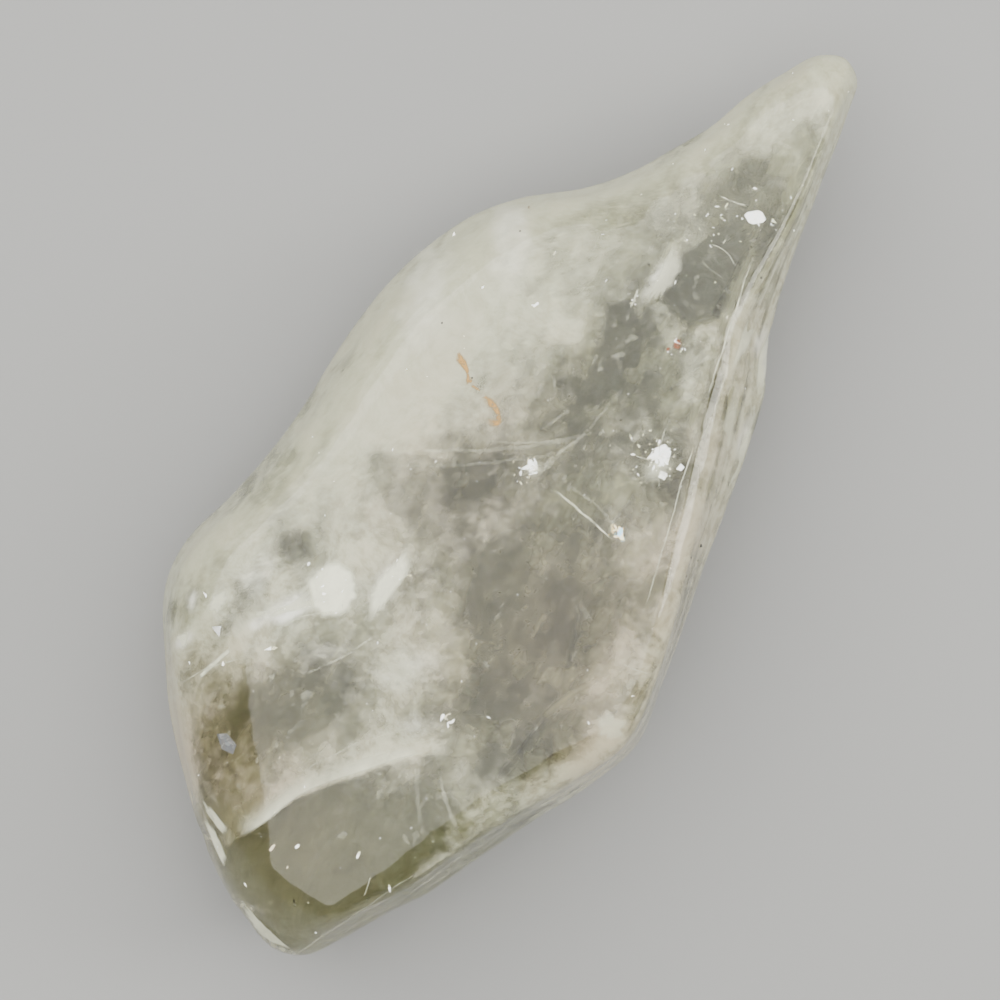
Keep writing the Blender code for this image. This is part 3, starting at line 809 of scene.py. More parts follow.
class PRASIOLITE_OT_skin(Operator):
    """The stone's own surface, with soft polishing waves, ribs on the side facet and small chips"""

    bl_idname = "prasiolite.skin"
    bl_label = "Stone skin"

    TURNS, STATIONS = 284, 350
    # Chips and frost: (x, y, half length, half width, turn, depth or strength).
    CHIPS = (
        (7.6, 11.9, 1.0, 0.5, 20, 0.28), (-3.5, -23.4, 0.9, 0.5, -60, 0.10),
        (1.2, -25.6, 1.4, 0.5, -75, 0.08),
    )
    FROST = (
        (-3.5, -23.4, 0.9, 0.22, -58, 1.0), (-0.2, -25.2, 1.0, 0.2, -66, 0.9),
        (2.4, -26.1, 1.0, 0.22, -78, 1.0), (7.2, 12.6, 1.0, 0.3, 18, 0.5),
    )
    RIBS = 154  # round the whole section
    RIB_HEIGHT = 0.006
    LEFT_RIM_CORNER = 4.0
    BEND = 1.5  # how far clouds push about the places that the noises are read at
    BEND_SEEDS = (340, 343, 346)

    def execute(self, context):
        settings = context.scene.prasiolite.quartz
        end = np.linspace(0, np.pi, self.STATIONS + 2)[1:-1]
        y = (-REACH * np.cos(end))[:, None]
        turn = (np.arange(self.TURNS) / self.TURNS)[None, :]
        smooth = stone_surface(turn, y)
        on_side = soft_step(0.3, 0.7, 1 - abs(turn - (RIGHT_TURN + CREST_TURN) / 2) * CORNERS)
        raised = self.raised(smooth, turn, on_side, settings.relief)
        points = smooth + self.normals(smooth) * raised[..., None]
        x, y, z = np.moveaxis(smooth, -1, 0)
        push = [self.BEND * (clouds(x + z, y, 2.6, seed, 2) - 0.5) for seed in self.BEND_SEEDS]
        bent = points + np.stack(push, -1)
        ends = np.array([stone_surface(0.0, s * REACH) for s in (-1, 1)])
        points, bent = (np.concatenate([grid.reshape(-1, 3), ends]) for grid in (points, bent))
        looks = {
            name: np.append(values.ravel(), [at_end, at_end])
            for name, values, at_end in self.looks(x, y, z, turn, on_side)
        }
        material = quartz_material(settings)
        skin = new_object("stone_skin", points, self.faces(), material, **looks, bent=bent * MM)
        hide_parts("prasiolite_stone")
        return {"FINISHED"}

    def raised(self, points, turn, on_side, relief):
        """How far the skin stands off the smooth form: polishing waves, and ribs on the side facet,
        which fade towards the resting facet, less the chips."""
        x, y, z = np.moveaxis(points, -1, 0)
        ribs = np.sin(turn * self.RIBS + waves(x, y, 8.0, 5) * 4.0)
        ribs = ribs * soft_step(-9, 0, y) * (1 - soft_step(14, 19, y))
        polish = relief * (waves(x + z, y, 6.5, 1, 3) + 0.2 * waves(x - z, y, 1.6, 2, 2))
        chips = spots(x, y, self.CHIPS) * soft_step(3.0, 5.0, z)
        return soft_step(0.02, 0.8, z) * (polish + self.RIB_HEIGHT * on_side * ribs) - chips

    def looks(self, x, y, z, turn, on_side):
        """(name, values, value at the ends) of the attributes that the quartz reads. The milk is that
        of the column, thinner low down, with streaks on the side facet and more along the left bevel
        and the underside. The panes clear or cloud it."""
        corner = turn * CORNERS
        low, high = soft_step(6.0, 3.0, z), soft_step(5.0, 8.0, z)
        shake, crack = texture(x + 0.3 * z, y, 310)
        run = clouds(corner * 7 + 0.05 * waves(y, z, 5.0, 320, 2), y / 6, 1.0, 321, 4, 0.65) - 0.5
        on_bevel = soft_step(0.65, 0.25, abs(corner - self.LEFT_RIM_CORNER - 0.05))
        on_bevel = on_bevel * (1 - 0.55 * soft_step(-13.0, -9.0, y))
        milky = milk(x, y, 0.3) * (1 - 0.5 * low) + (0.4 + 0.7 * low) * shake
        milky += on_side * (0.45 + 0.25 * soft_step(-4.0, 2.0, y) + 2.0 * run)
        milky += on_bevel * (0.7 + 0.8 * shake) + 0.55 * soft_step(0.4, 3.4, z) * low
        milky = soft_step(0.0, 1.45, milky) + 0.12 * crack * soft_step(6.0, 9.0, z)
        pale = np.clip(white(x, y), 0, 1) * high
        clear, cloudy = panes(x, y)
        milky = np.maximum((milky + 0.5 * cloudy) * (1 - 0.93 * clear), 1.5 * pale)
        frost = np.clip(spots(x, y, self.FROST), 0, 1) * soft_step(3.0, 4.5, z)
        frost = np.clip(frost * (0.7 + 0.3 * waves(x, y, 0.5, 3)), 0, 1)
        warm = np.clip(spots(x, y, WARM_SPOTS) + 0.25 * shake, 0, 1)
        threaded = soft_step(0.4, 0.65, np.maximum(clouds(x, y, 3.2, 350, 3), 0.9 * clear)) * high
        threaded = threaded * soft_step(-6.0, 0.0, x - 0.3 * y) * soft_step(-19.0, -13.0, y)
        broken = 0.35 + 0.65 * soft_step(-6.0, 1.0, x - 0.3 * y + 3.0 * soft_step(-6.0, -10.0, y))
        calm = soft_step(1.0, 0.4, abs(corner - self.LEFT_RIM_CORNER)) * soft_step(-17.0, -13.0, y)
        broken = np.maximum(broken * (1 - 0.5 * calm), 0.9 * low)
        return (
            ("frost", frost, 0), ("milk", milky, 0.4), ("pale", pale, 0), ("warm", warm, 0),
            ("threaded", threaded, 0), ("broken", broken, 1),
        )

    def faces(self):
        """Quads between the rings, and a fan of triangles at each end."""
        count = self.TURNS * self.STATIONS
        first = np.arange(self.TURNS)
        last = count - self.TURNS + first
        return [
            grid_faces(self.STATIONS, self.TURNS, wrap=True)[:, ::-1],
            np.stack([np.full_like(first, count), first, np.roll(first, -1)], -1),
            np.stack([np.full_like(last, count + 1), np.roll(last, -1), last], -1),
        ]

    def normals(self, points):
        """Outward normals of a grid that goes round in its columns: the cross product of its steps."""
        round_step = np.roll(points, -1, 1) - np.roll(points, 1, 1)
        along_step = np.gradient(points, axis=0)
        normal = np.cross(along_step, round_step)
        normal /= np.maximum(np.linalg.norm(normal, axis=-1, keepdims=True), 1e-9)
        outward = np.sign((normal[:, :, 2] * np.sign(points[:, :, 2] - 6)).mean())
        return normal * outward


class PRASIOLITE_OT_veils(Operator):
    """Veils of fine bubbles at three depths, from just under the front face to near the back"""

    bl_idname = "prasiolite.veils"
    bl_label = "Milky veils"

    ROWS, COLS = 440, 190
    # (name, depth share, rolling, densest haze, how clear its panes are, least haze in the tail, seed)
    LAYERS = (
        ("veil_upper", 0.86, 0.04, 0.55, 0.95, 0.0, 12), ("veil_middle", 0.58, 0.08, 0.60, 0.9, 0.12, 23),
        ("veil_lower", 0.24, 0.08, 0.75, 0.85, 0.62, 34),
    )

    DEPTH_LIMITS = (0.05, 0.965)

    def execute(self, context):
        material = veil_material(context.scene.prasiolite.veil)
        y = np.linspace(-REACH + 0.5, REACH - 0.4, self.ROWS)[:, None]
        share = np.linspace(0.015, 0.985, self.COLS)[None, :]
        left, right = rims(y)
        x, y = left + (right - left) * share, y + 0 * share
        for name, depth, roll, densest, clear, tail, seed in self.LAYERS:
            shake, crack = texture(x, y, seed)
            shape = milk(x, y, 0.1) + shake
            haze = densest * soft_step(0.0, 1.15, shape) + 0.25 * crack * soft_step(0.0, 0.6, shape)
            haze += 0.10 * soft_step(0.45, 0.75, clouds(x + 0.15 * y, 0.4 * y, 0.8, seed + 7, 5, 0.7))
            open_pane, milky_pane = panes(x, y)
            haze = (haze + 0.3 * milky_pane) * (1 - clear * open_pane)
            least = soft_step(-11.0, -15.0, y) + 0.4 * soft_step(-3.0, -5.5, x) * soft_step(-12.0, -15.0, y)
            least = tail * least
            haze = np.maximum(haze, least * (1 + 0.3 * shake))
            tone = np.maximum(soft_step(0.3, 1.2, shape), 0.6 * soft_step(0.0, 0.5, least))
            level = depth + roll * waves(x, y, 14.0, seed, 2) + 0.03 * shake
            points = at_depth(x, y, np.clip(level, *self.DEPTH_LIMITS))
            faces = [grid_faces(self.ROWS, self.COLS)]
            new_object(name, points, faces, material, haze=np.clip(haze, 0, 1), tone=tone)
        return {"FINISHED"}


class PRASIOLITE_OT_fractures(Operator):
    """The healed fractures: the slanting plane across the tail, milky bands, the streaks under the
    side facet, the fine bright lines and a painted highlight along the crest"""

    bl_idname = "prasiolite.fractures"
    bl_label = "Fractures and bands"

    # Bands: (knots (x, y[, size]), reach left and right, depths, strength, fades, tone).
    PLANE = (
        (((-2.3, -23.1), (-1.1, -20.3), (-0.7, -19.1), (1.8, -15.6), (2.5, -14.7), (4.0, -13.2)),
         (4.6, 0.0), (0.35, 0.82), 0.85, (0.9, 0.02), 0.9),
        (((-1.3, -20.6), (-0.7, -19.1), (1.8, -15.6), (2.5, -14.7), (3.8, -13.4)), (0.9, 0.0),
         (0.76, 0.83), 0.7, (0.9, 0.05), 1.0),
        (((-1.9, -22.2), (-1.1, -20.3), (-0.7, -19.1), (1.8, -15.6), (2.5, -14.7), (3.6, -13.6)),
         (1.1, 0.0), None, 0.55, (0.95, 0.02), 1.0),
    )
    CREAM = (
        (((0.55, 14.1), (0.75, 12.6), (0.85, 11.8), (1.1, 10.2)), (0.55, 0.35),
         (0.84, 0.88), 0.85, (0.5, 0.15), 0.75),
        (((3.6, 16.4), (3.8, 15.4), (4.4, 12.0), (5.0, 8.8), (6.3, 5.4)), (0.7, 0.14),
         (0.90, 0.93), 0.55, (0.9, 0.3), 0.75),
        (((7.3, -9.4), (7.5, -8.8), (8.1, -7.2), (8.8, -6.0), (9.2, -5.2)), (0.35, 0.3),
         (0.80, 0.84), 0.6, (0.6, 0.5), 0.9),
        (((3.4, 10.3), (3.6, 8.4), (4.2, 6.2)), (0.9, 0.4), (0.7, 0.8), 0.45, (0.7, 0.4), 0.8),
        (((-1.4, 2.3), (1.4, 4.2), (3.4, 6.3)), (0.5, 0.5), (0.66, 0.74), 0.35, (0.6, 0.6), 0.8),
    )
    STREAK_MIDDLE = 6.5  # height of the middle that the streaks are drawn in to
    STREAK_SHARE = 0.955  # share of the way out from it that they lie at
    # Lines on the face, one of them a painted highlight: (knots (x, y[, size]), half width, strength).
    LINES_AND_CREST_HIGHLIGHT = (
        (((-6.5, -2.8, 0.6), (-4.2, -1.2, 1.0), (-2.1, 0.1, 1.2), (1.8, 3.3, 0.8)), 0.10, 0.17),
        (((-5.9, -3.1), (-2.0, -0.6), (1.2, 2.0)), 0.09, 0.13),
        (((-2.4, 0.5), (0.0, 1.9), (2.4, 4.1)), 0.06, 0.17),
        (((1.85, 0.4, 0.7), (3.7, 0.2, 1.2), (5.7, -0.15, 0.6)), 0.06, 0.7),
        (((2.4, 0.9), (3.9, 0.9), (5.3, 0.5)), 0.07, 0.18), (((4.4, -20.2), (4.65, -21.2)), 0.03, 0.7),
        (((4.1, -24.0), (5.2, -21.3), (6.2, -18.8)), 0.022, 0.5),
        (((-7.8, -16.6), (-7.2, -14.4)), 0.16, 0.8), (((1.1, 16.95), (2.6, 17.2)), 0.035, 0.7),
        (((2.0, 14.7), (2.85, 14.75), (3.65, 14.3)), 0.03, 0.5),
        (((1.9, 13.9), (2.7, 13.6), (3.6, 13.5)), 0.025, 0.35),
        (((3.5, -14.4), (4.3, -15.7), (5.5, -17.1)), 0.12, 0.16),
        (((4.4, -14.0), (5.6, -15.1), (7.0, -16.2)), 0.12, 0.16),
        (((-4.6, -21.6), (-3.6, -22.1), (-2.6, -22.3)), 0.07, 0.6),
        (((-4.9, -10.2), (-6.2, -11.6), (-7.4, -12.7)), 0.20, 0.4),
        (((-6.0, -12.9), (-5.0, -11.2), (-3.9, -10.2)), 0.05, 0.4),
        (((-8.6, -17.6), (-7.6, -15.8), (-6.3, -14.4)), 0.04, 0.45),
        (((-3.6, -13.6), (-2.4, -11.9), (-1.6, -9.9)), 0.05, 0.35),
        (((1.0, 1.6), (1.7, 3.4), (2.0, 5.6)), 0.06, 0.2),
        # Painted highlight: a thin white line along the crest ridge, where the rounded crest mirrors the
        # light.
        (((4.1, 15.4), (4.55, 13.4), (5.05, 11.4), (5.4, 9.9), (5.95, 7.8)), 0.045, 0.65),
        (((6.3, 6.6), (7.1, 3.6), (8.0, 0.4), (8.7, -2.2)), 0.04, 0.45),
        (((4.9, 6.3), (5.2, 4.9), (6.3, 3.1)), 0.035, 0.5),
        (((6.2, 5.1), (5.4, 4.3), (4.1, 3.9)), 0.035, 0.5), (((0.2, 10.9), (0.4, 9.9)), 0.05, 0.6),
        (((2.1, 11.4), (2.9, 10.2), (3.1, 8.4)), 0.03, 0.35),
        (((9.1, -4.9), (10.0, -4.8), (10.8, -4.5)), 0.04, 0.35),
        (((-1.2, -17.9), (0.6, -14.8), (2.6, -12.6)), 0.04, 0.3),
    )

    def execute(self, context):
        material = veil_material(context.scene.prasiolite.veil)
        plane, cream, lines = Pile(), Pile(), Pile()
        for seed, row in enumerate(self.PLANE):
            plane.band(*row, 60 + seed, grain=0.7, tips=0.12)
        for seed, row in enumerate(self.CREAM):
            cream.band(*row, 70 + seed, grain=0.6)
        for seed, (knots, half, strength) in enumerate(self.LINES_AND_CREST_HIGHLIGHT):
            row = knots, (half, half), None, strength, (0.45, 0.45), 1.0
            lines.band(*row, 80 + seed, grain=1.2, size=0.3, wobble=0.022)
        plane.make("fracture_plane", material)
        cream.make("cream_bands", material)
        lines.make("fine_lines_and_crest_highlight", material)
        self.side_streaks(material)
        return {"FINISHED"}

    def side_streaks(self, material):
        """A sheet under the steep side facet: the stone's surface there, drawn in towards the middle
        of its section. Its haze is long and short streaks, which are clouds stretched along the stone."""
        turn = np.linspace(RIGHT_TURN - 0.02, CREST_TURN - 0.01, 56)[None, :]
        y = np.linspace(-9.5, REACH - 1.2, 520)[:, None]
        points = stone_surface(turn, y)
        turn, y = turn + 0 * y, y + 0 * turn
        middle = np.stack([sum(rims(y)) / 2, y, np.full_like(y, self.STREAK_MIDDLE)], -1)
        points = middle + (points - middle) * self.STREAK_SHARE
        up = (turn - RIGHT_TURN) / (CREST_TURN - RIGHT_TURN)
        bend = 0.05 * waves(y, 6 * up, 6.0, 91, 2)
        short = clouds((up + bend) * 7.0, y, 1.0, 92, 4, 0.6)
        long = clouds((up + bend) * 16.0, y / 7.0, 1.0, 93, 4, 0.65)
        haze = 0.95 * soft_step(0.36, 0.58, 0.7 * long + 0.3 * short) * soft_step(-9.5, -6.5, y)
        new_object(
            "side_streaks", points, [grid_faces(*haze.shape)[:, ::-1]], material,
            haze=haze, tone=soft_step(0.35, 0.75, clouds(up * 5, y, 2.2, 95, 3)),
        )


class PRASIOLITE_OT_patches(Operator):
    """White milky patches and painted highlights on the side facet, with the rust stains and dark grains
    beside them
    """

    bl_idname = "prasiolite.patches"
    bl_label = "Patches and stains"

    # Patches inside: (x, y, half length, half width, turn, depth, strength, crispness, tone). The eye
    # is one with a hole.
    WHITE = (
        (-4.7, -9.4, 1.3, 1.05, 20, 0.88, 0.95, 0.55, 1.0), (-4.5, -9.0, 0.7, 0.6, 0, 0.91, 0.6, 0.3, 1.0),
        (-5.9, -11.3, 1.5, 0.65, -35, 0.86, 0.7, 0.3, 1.0),
        (-6.8, -12.7, 0.7, 0.3, -30, 0.86, 0.55, 0.4, 1.0),
        (-2.5, -7.7, 1.85, 0.5, 7, 0.87, 0.75, 0.4, 0.95), (-2.9, -7.2, 1.3, 0.14, 7, 0.89, 0.6, 0.4, 1.0),
        (-10.1, -13.5, 0.65, 0.4, 10, 0.8, 0.7, 0.5, 1.0), (-9.4, -15.4, 0.6, 0.3, -20, 0.8, 0.6, 0.5, 1.0),
        (10.3, -7.5, 0.8, 0.6, -30, 0.8, 0.75, 0.4, 1.0), (10.3, -5.4, 0.45, 0.3, 0, 0.8, 0.6, 0.5, 1.0),
        (0.6, -10.6, 1.6, 1.0, -30, 0.8, 0.45, 0.2, 1.0), (2.3, -12.6, 1.2, 0.6, -40, 0.82, 0.4, 0.2, 1.0),
        (-8.6, 5.4, 2.8, 1.2, 25, 0.9, 0.35, 0.1, 1.0), (-6.3, 9.6, 2.0, 1.0, 35, 0.9, 0.4, 0.1, 1.0),
        (2.4, 22.6, 2.4, 0.9, -14, 0.88, 0.15, 0.1, 1.0), (6.7, 12.0, 0.9, 0.3, 12, 0.7, 0.7, 0.3, 1.0),
        (8.5, 7.7, 1.0, 0.35, 12, 0.7, 0.6, 0.3, 1.0), (5.6, 4.3, 1.1, 0.8, 0, 0.84, 0.55, 0.1, 1.0),
        (0.5, 0.8, 0.8, 0.4, -40, 0.86, 0.5, 0.2, 1.0), (-1.9, -4.6, 1.4, 0.8, 0, 0.78, 0.15, 0.1, 1.0),
    )
    EYE = (7.1, -13.9, 0.95, 0.55, -57, 0.85, 0.6, 0.75, 0.4)
    # White leaves on the face, some of them painted highlights: (strength, ragged, crisp, tone, corners).
    LEAVES_AND_SIDE_HIGHLIGHTS = (
        (0.95, 0.045, 0.72, 1.0, ((-5.75, -9.9), (-5.75, -8.8), (-5.0, -7.95), (-3.9, -8.15),
         (-3.3, -9.1), (-3.4, -10.25), (-4.4, -10.85))),
        (0.55, 0.06, 0.3, 1.0, ((-5.3, -9.6), (-4.9, -10.6), (-5.8, -11.6), (-6.7, -12.6), (-6.5, -11.9),
         (-5.9, -10.8))),
        (0.8, 0.08, 0.5, 1.0, ((-2.6, -5.5), (-2.75, -6.5), (-3.0, -7.6), (-2.9, -8.8), (-2.2, -9.9),
         (-2.0, -9.2), (-1.9, -7.9), (-1.8, -6.2))),
        (0.6, 0.12, 0.4, 1.0, ((-9.5, -12.8), (-8.9, -12.0), (-8.5, -12.8), (-8.7, -13.5), (-9.3, -13.6))),
        (0.75, 0.08, 0.6, 1.0, ((-9.9, -15.5), (-9.5, -15.0), (-9.15, -15.6), (-9.55, -16.0))),
        (0.5, 0.10, 0.55, 0.7, ((0.45, 13.9), (1.4, 13.2), (1.6, 12.4), (1.3, 10.6), (0.8, 10.6),
         (0.6, 12.0))),
        (0.35, 0.15, 0.6, 1.0, ((9.7, -7.4), (10.7, -7.1), (11.2, -7.8), (10.5, -8.5), (9.8, -8.3))),
        (0.45, 0.06, 0.1, 1.0, ((4.8, 3.6), (5.6, 5.2), (6.4, 4.6), (6.0, 3.2), (5.2, 2.9))),
        (0.4, 0.08, 0.2, 1.0, ((0.1, 0.4), (0.3, 1.3), (1.1, 1.0), (0.8, 0.2))),
        (0.85, 0.10, 0.6, 1.0, ((-4.04, -22.4), (-3.07, -22.6), (-1.89, -23.6), (-1.86, -23.95),
         (-3.06, -23.2))),
        (0.7, 0.08, 0.6, 1.0, ((-4.17, -21.7), (-2.62, -22.2), (-2.68, -22.46), (-4.23, -21.96))),
        (0.75, 0.10, 0.6, 1.0, ((-0.5, -24.85), (0.9, -25.2), (2.6, -25.6), (3.5, -25.85), (2.4, -26.15),
         (0.6, -25.75))),
        # The four leaves on the steep side facet are partly its pale streaks and partly painted highlight:
        # their white stands in for the light that the facet mirrors.
        (0.55, 0.03, 0.45, 1.0, ((6.75, 13.0), (7.3, 12.1), (8.1, 10.2), (7.9, 9.6), (7.3, 10.6),
         (6.8, 11.8))),
        (0.5, 0.04, 0.4, 1.0, ((5.5, 13.6), (6.0, 12.9), (6.4, 11.2), (6.2, 9.6), (5.9, 10.6),
         (5.5, 12.2))),
        (0.35, 0.04, 0.4, 0.9, ((6.9, 9.6), (7.6, 8.4), (8.6, 5.4), (8.3, 5.2), (7.4, 7.0), (6.8, 8.6))),
        (0.45, 0.04, 0.5, 1.0, ((8.5, 8.6), (9.0, 7.4), (9.4, 4.9), (9.1, 4.9), (8.5, 7.0))),
        (0.3, 0.2, 0.3, 1.0, ((-1.4, -11.4), (0.1, -9.6), (1.6, -10.4), (0.6, -12.4))),
    )
    # The rust streak: knots (x, y, size) of its parts. Red spots as (x, y, half length, half width,
    # turn), and dark grains as (x, y, size).
    RUST = (
        ((-5.5, 3.7, 0.5), (-5.28, 3.44, 1.2), (-4.75, 3.05, 0.8), (-4.2, 2.6, 1.2)),
        ((-4.2, 2.6, 0.6), (-3.4, 2.45, 0.7), (-2.83, 2.26, 1.3), (-2.3, 2.0, 1.0), (-2.16, 1.75, 1.2),
         (-2.6, 1.6, 0.8)),
    )
    RED = ((3.25, 9.6, 0.34, 0.24, 20), (3.0, 9.15, 0.14, 0.1, 0), (-6.5, 11.6, 0.12, 0.06, 40))
    GRAINS = (
        (9.45, 1.93, 0.09), (9.3, 1.19, 0.08), (9.75, 1.24, 0.06), (9.6, 0.3, 0.07), (5.0, 14.6, 0.08),
        (-4.3, 2.9, 0.06), (-7.0, 4.4, 0.06), (-6.2, 10.3, 0.05), (0.0, 12.2, 0.07), (2.9, 5.0, 0.05),
    )

    def execute(self, context):
        settings = context.scene.prasiolite.veil
        white, rust = Pile(), Pile()
        for seed, row in enumerate(self.WHITE):
            white.blot(*row, 110 + seed)
        white.blot(*self.EYE, 140, hole=0.9)
        for seed, row in enumerate(self.LEAVES_AND_SIDE_HIGHLIGHTS):
            white.leaf(*row, 400 + seed)
        white.make("white_patches_and_side_highlights", veil_material(settings))
        for seed, knots in enumerate(self.RUST):
            row = knots, (0.18, 0.18), None, 1.0, (0.4, 0.4), 1.0
            rust.band(*row, 150 + 10 * seed, grain=1.0, tips=0.08, size=0.25, wobble=0.04)
        for seed, spot in enumerate(self.RED):
            rust.blot(*spot, depth=None, strength=1.0, crisp=0.4, tone=0.0, seed=160 + seed)
        rust.make("rust_stains", stain_material(settings))
        self.grains(grain_material())
        return {"FINISHED"}

    def grains(self, material):
        """Small dark lumps: a six-cornered crystal for each, its corners pushed about at random."""
        corners = np.array([(1, 0, 0), (0, 1, 0), (-1, 0, 0), (0, -1, 0), (0, 0, 1), (0, 0, -1)], float)
        facets = np.array([
            (0, 1, 4), (1, 2, 4), (2, 3, 4), (3, 0, 4), (1, 0, 5), (2, 1, 5), (3, 2, 5), (0, 3, 5),
        ])
        x, y, size = np.array(self.GRAINS).T
        rng = np.random.default_rng(170)
        middles = on_face(x, y)[:, None]
        reach = size[:, None, None] * rng.uniform(0.7, 1.3, (len(x), 6, 1))
        points = middles + corners * (1, 1, 0.4) * reach
        faces = (facets[None] + 6 * np.arange(len(x))[:, None, None]).reshape(-1, 3)
        new_object("dark_grains", points, [faces], material, smooth=False)


class PRASIOLITE_OT_flakes(Operator):
    """Flat flakes that sparkle: clusters where the fractures meet, bright plates and scattered flecks"""

    bl_idname = "prasiolite.flakes"
    bl_label = "Sparkling flakes"

    # Clusters: (x, y, spread, number, least and largest size). Single flecks: (x, y). Bright plates
    # on the face: their corners (x, y).
    CLUSTERS = (
        (5.55, 4.35, 0.32, 34, 0.04, 0.14), (5.45, 4.5, 1.0, 46, 0.02, 0.08),
        (0.42, 0.76, 0.28, 22, 0.03, 0.12), (0.3, 0.5, 0.7, 20, 0.02, 0.06),
        (3.3, 9.4, 0.5, 10, 0.02, 0.06), (2.0, 15.6, 1.3, 30, 0.02, 0.06),
        (3.5, -11.7, 0.25, 7, 0.05, 0.14), (5.66, 0.3, 0.3, 16, 0.04, 0.13),
        (-4.7, -9.4, 1.0, 10, 0.03, 0.08), (-2.6, -6.6, 0.6, 8, 0.02, 0.07),
        (0.33, 10.28, 0.2, 8, 0.03, 0.12), (4.05, 17.15, 0.12, 5, 0.03, 0.08),
    )
    FLECKS = (
        (-8.59, 9.0), (-8.9, 8.4), (-6.24, 6.91), (-4.06, 10.12), (-3.58, 7.58), (-7.14, -15.28),
        (-5.55, -13.4), (-5.24, -20.6), (-0.5, -24.0), (0.8, -22.0), (3.36, -19.66), (5.5, -20.2),
        (4.83, -21.15), (-0.2, -21.54), (0.62, -20.85), (-9.6, -13.0), (-8.6, -16.2), (2.0, -23.0),
        (6.9, -17.0), (-6.4, 0.8),
    )
    PLATES = (
        ((2.72, 16.96), (3.12, 17.33), (3.37, 17.37), (3.68, 17.15), (3.66, 16.96), (3.28, 16.61),
         (3.04, 16.57), (2.69, 16.77)),
        ((5.2, 4.2), (5.0, 4.7), (5.3, 5.15), (5.75, 5.0), (5.9, 4.5), (5.6, 4.15)),
        ((5.85, 3.6), (5.8, 3.95), (6.15, 4.0), (6.2, 3.65)),
        ((6.4, 4.4), (6.45, 4.75), (6.7, 4.7), (6.65, 4.45)),
        ((0.3, 0.55), (0.2, 0.85), (0.5, 1.1), (0.75, 0.85), (0.6, 0.55)),
        ((-5.6, -18.4), (-5.2, -18.1), (-4.5, -18.3), (-4.4, -18.8), (-5.0, -18.9)),
        ((-8.6, -14.1), (-8.2, -13.8), (-8.0, -14.3)),
    )
    SCATTERED = 150
    RAINBOW = (5.66, 0.3)  # the middle of the flakes with thin-film colours
    FLAKE_CORNERS = 6
    LEAF_CORNERS = 5
    # Pale leaves: (x, y, half length, half width, turn of the patch they lie in, number, largest size).
    LEAF_FIELDS = (
        (2.6, 13.4, 2.6, 1.2, -14, 24, 0.22), (1.0, 7.4, 3.2, 1.6, -20, 40, 0.24),
        (1.0, 2.6, 2.6, 3.0, 0, 34, 0.3), (4.6, 4.2, 2.6, 1.8, 0, 36, 0.26),
        (4.4, -4.0, 5.0, 3.4, 0, 40, 0.24), (-2.0, -9.6, 3.0, 3.4, 0, 34, 0.34),
        (-6.6, -12.6, 3.0, 2.4, -30, 30, 0.36), (-3.6, -16.4, 3.0, 3.0, 0, 30, 0.24),
        (4.8, -15.6, 2.6, 1.4, -57, 26, 0.36), (0.0, -19.6, 3.0, 2.4, -57, 20, 0.24),
        (9.0, -8.0, 2.4, 1.6, 0, 16, 0.3), (-3.0, 8.0, 4.0, 3.0, -20, 24, 0.3),
    )

    def execute(self, context):
        rng = np.random.default_rng(200)
        x, y, size = [], [], []
        for cx, cy, spread, count, least, largest in self.CLUSTERS:
            x.append(cx + spread * 0.6 * rng.standard_normal(count))
            y.append(cy + spread * 0.6 * rng.standard_normal(count))
            size.append(least + (largest - least) * rng.random(count) ** 2)
        flecks = np.array(self.FLECKS)
        x.append(flecks[:, 0])
        y.append(flecks[:, 1])
        size.append(rng.uniform(0.05, 0.1, len(flecks)))
        along = rng.uniform(-REACH + 2, REACH - 1.5, self.SCATTERED)
        left, right = rims(along)
        x.append(left + (right - left) * rng.uniform(0.06, 0.94, self.SCATTERED))
        y.append(along)
        size.append(0.012 + 0.03 * rng.random(self.SCATTERED) ** 3)
        x, y, size = (np.concatenate(v) for v in (x, y, size))
        inner = at_depth(x, y, 0.965 - 0.2 * rng.random(len(x)) ** 3)
        outer = (rng.random(len(x)) < 0.5)[:, None]
        self.flakes(np.where(outer, on_face(x, y), inner), size, rng)
        self.plates()
        self.leaves(veil_material(context.scene.prasiolite.veil))
        return {"FINISHED"}

    def leaves(self, material):
        """Small angular see-through leaves on the face, five corners each, scattered in fields with a
        bell curve about their middles. Most are small, and each field's leaves share a grain direction."""
        rng = np.random.default_rng(260)
        pile = Pile()
        for x, y, length, width, turn, count, largest in self.LEAF_FIELDS:
            lean = turn + rng.normal(0, 35, (count, 1))
            along = 0.6 * length * rng.standard_normal(count)
            across = 0.6 * width * rng.standard_normal(count)
            dx, dy = off_axis(along, across, turn)
            px, py = x + dx[:, None], y + dy[:, None]
            size = 0.05 + (largest - 0.05) * rng.random(count) ** 2.5
            shape = (count, self.LEAF_CORNERS)
            step = 2 * np.pi / self.LEAF_CORNERS
            angle = np.arange(self.LEAF_CORNERS) * step + rng.uniform(-0.5, 0.5, shape)
            reach = size[:, None] * rng.uniform(0.5, 1.2, shape)
            u = reach * np.cos(angle) * rng.uniform(1.0, 2.4, (count, 1))
            v = reach * np.sin(angle) * rng.uniform(0.5, 1.0, (count, 1))
            dx, dy = off_axis(u, v, lean)
            points = on_face(px + dx, py + dy)
            faces = np.arange(count * self.LEAF_CORNERS).reshape(shape)[:, ::-1]
            haze = rng.uniform(0.05, 0.26, (count, 1)) * rng.uniform(0.4, 1.0, shape)
            pile.add(points, [faces], haze, np.repeat(rng.uniform(0.4, 1.0, count), self.LEAF_CORNERS))
        pile.make("pale_leaves", material)

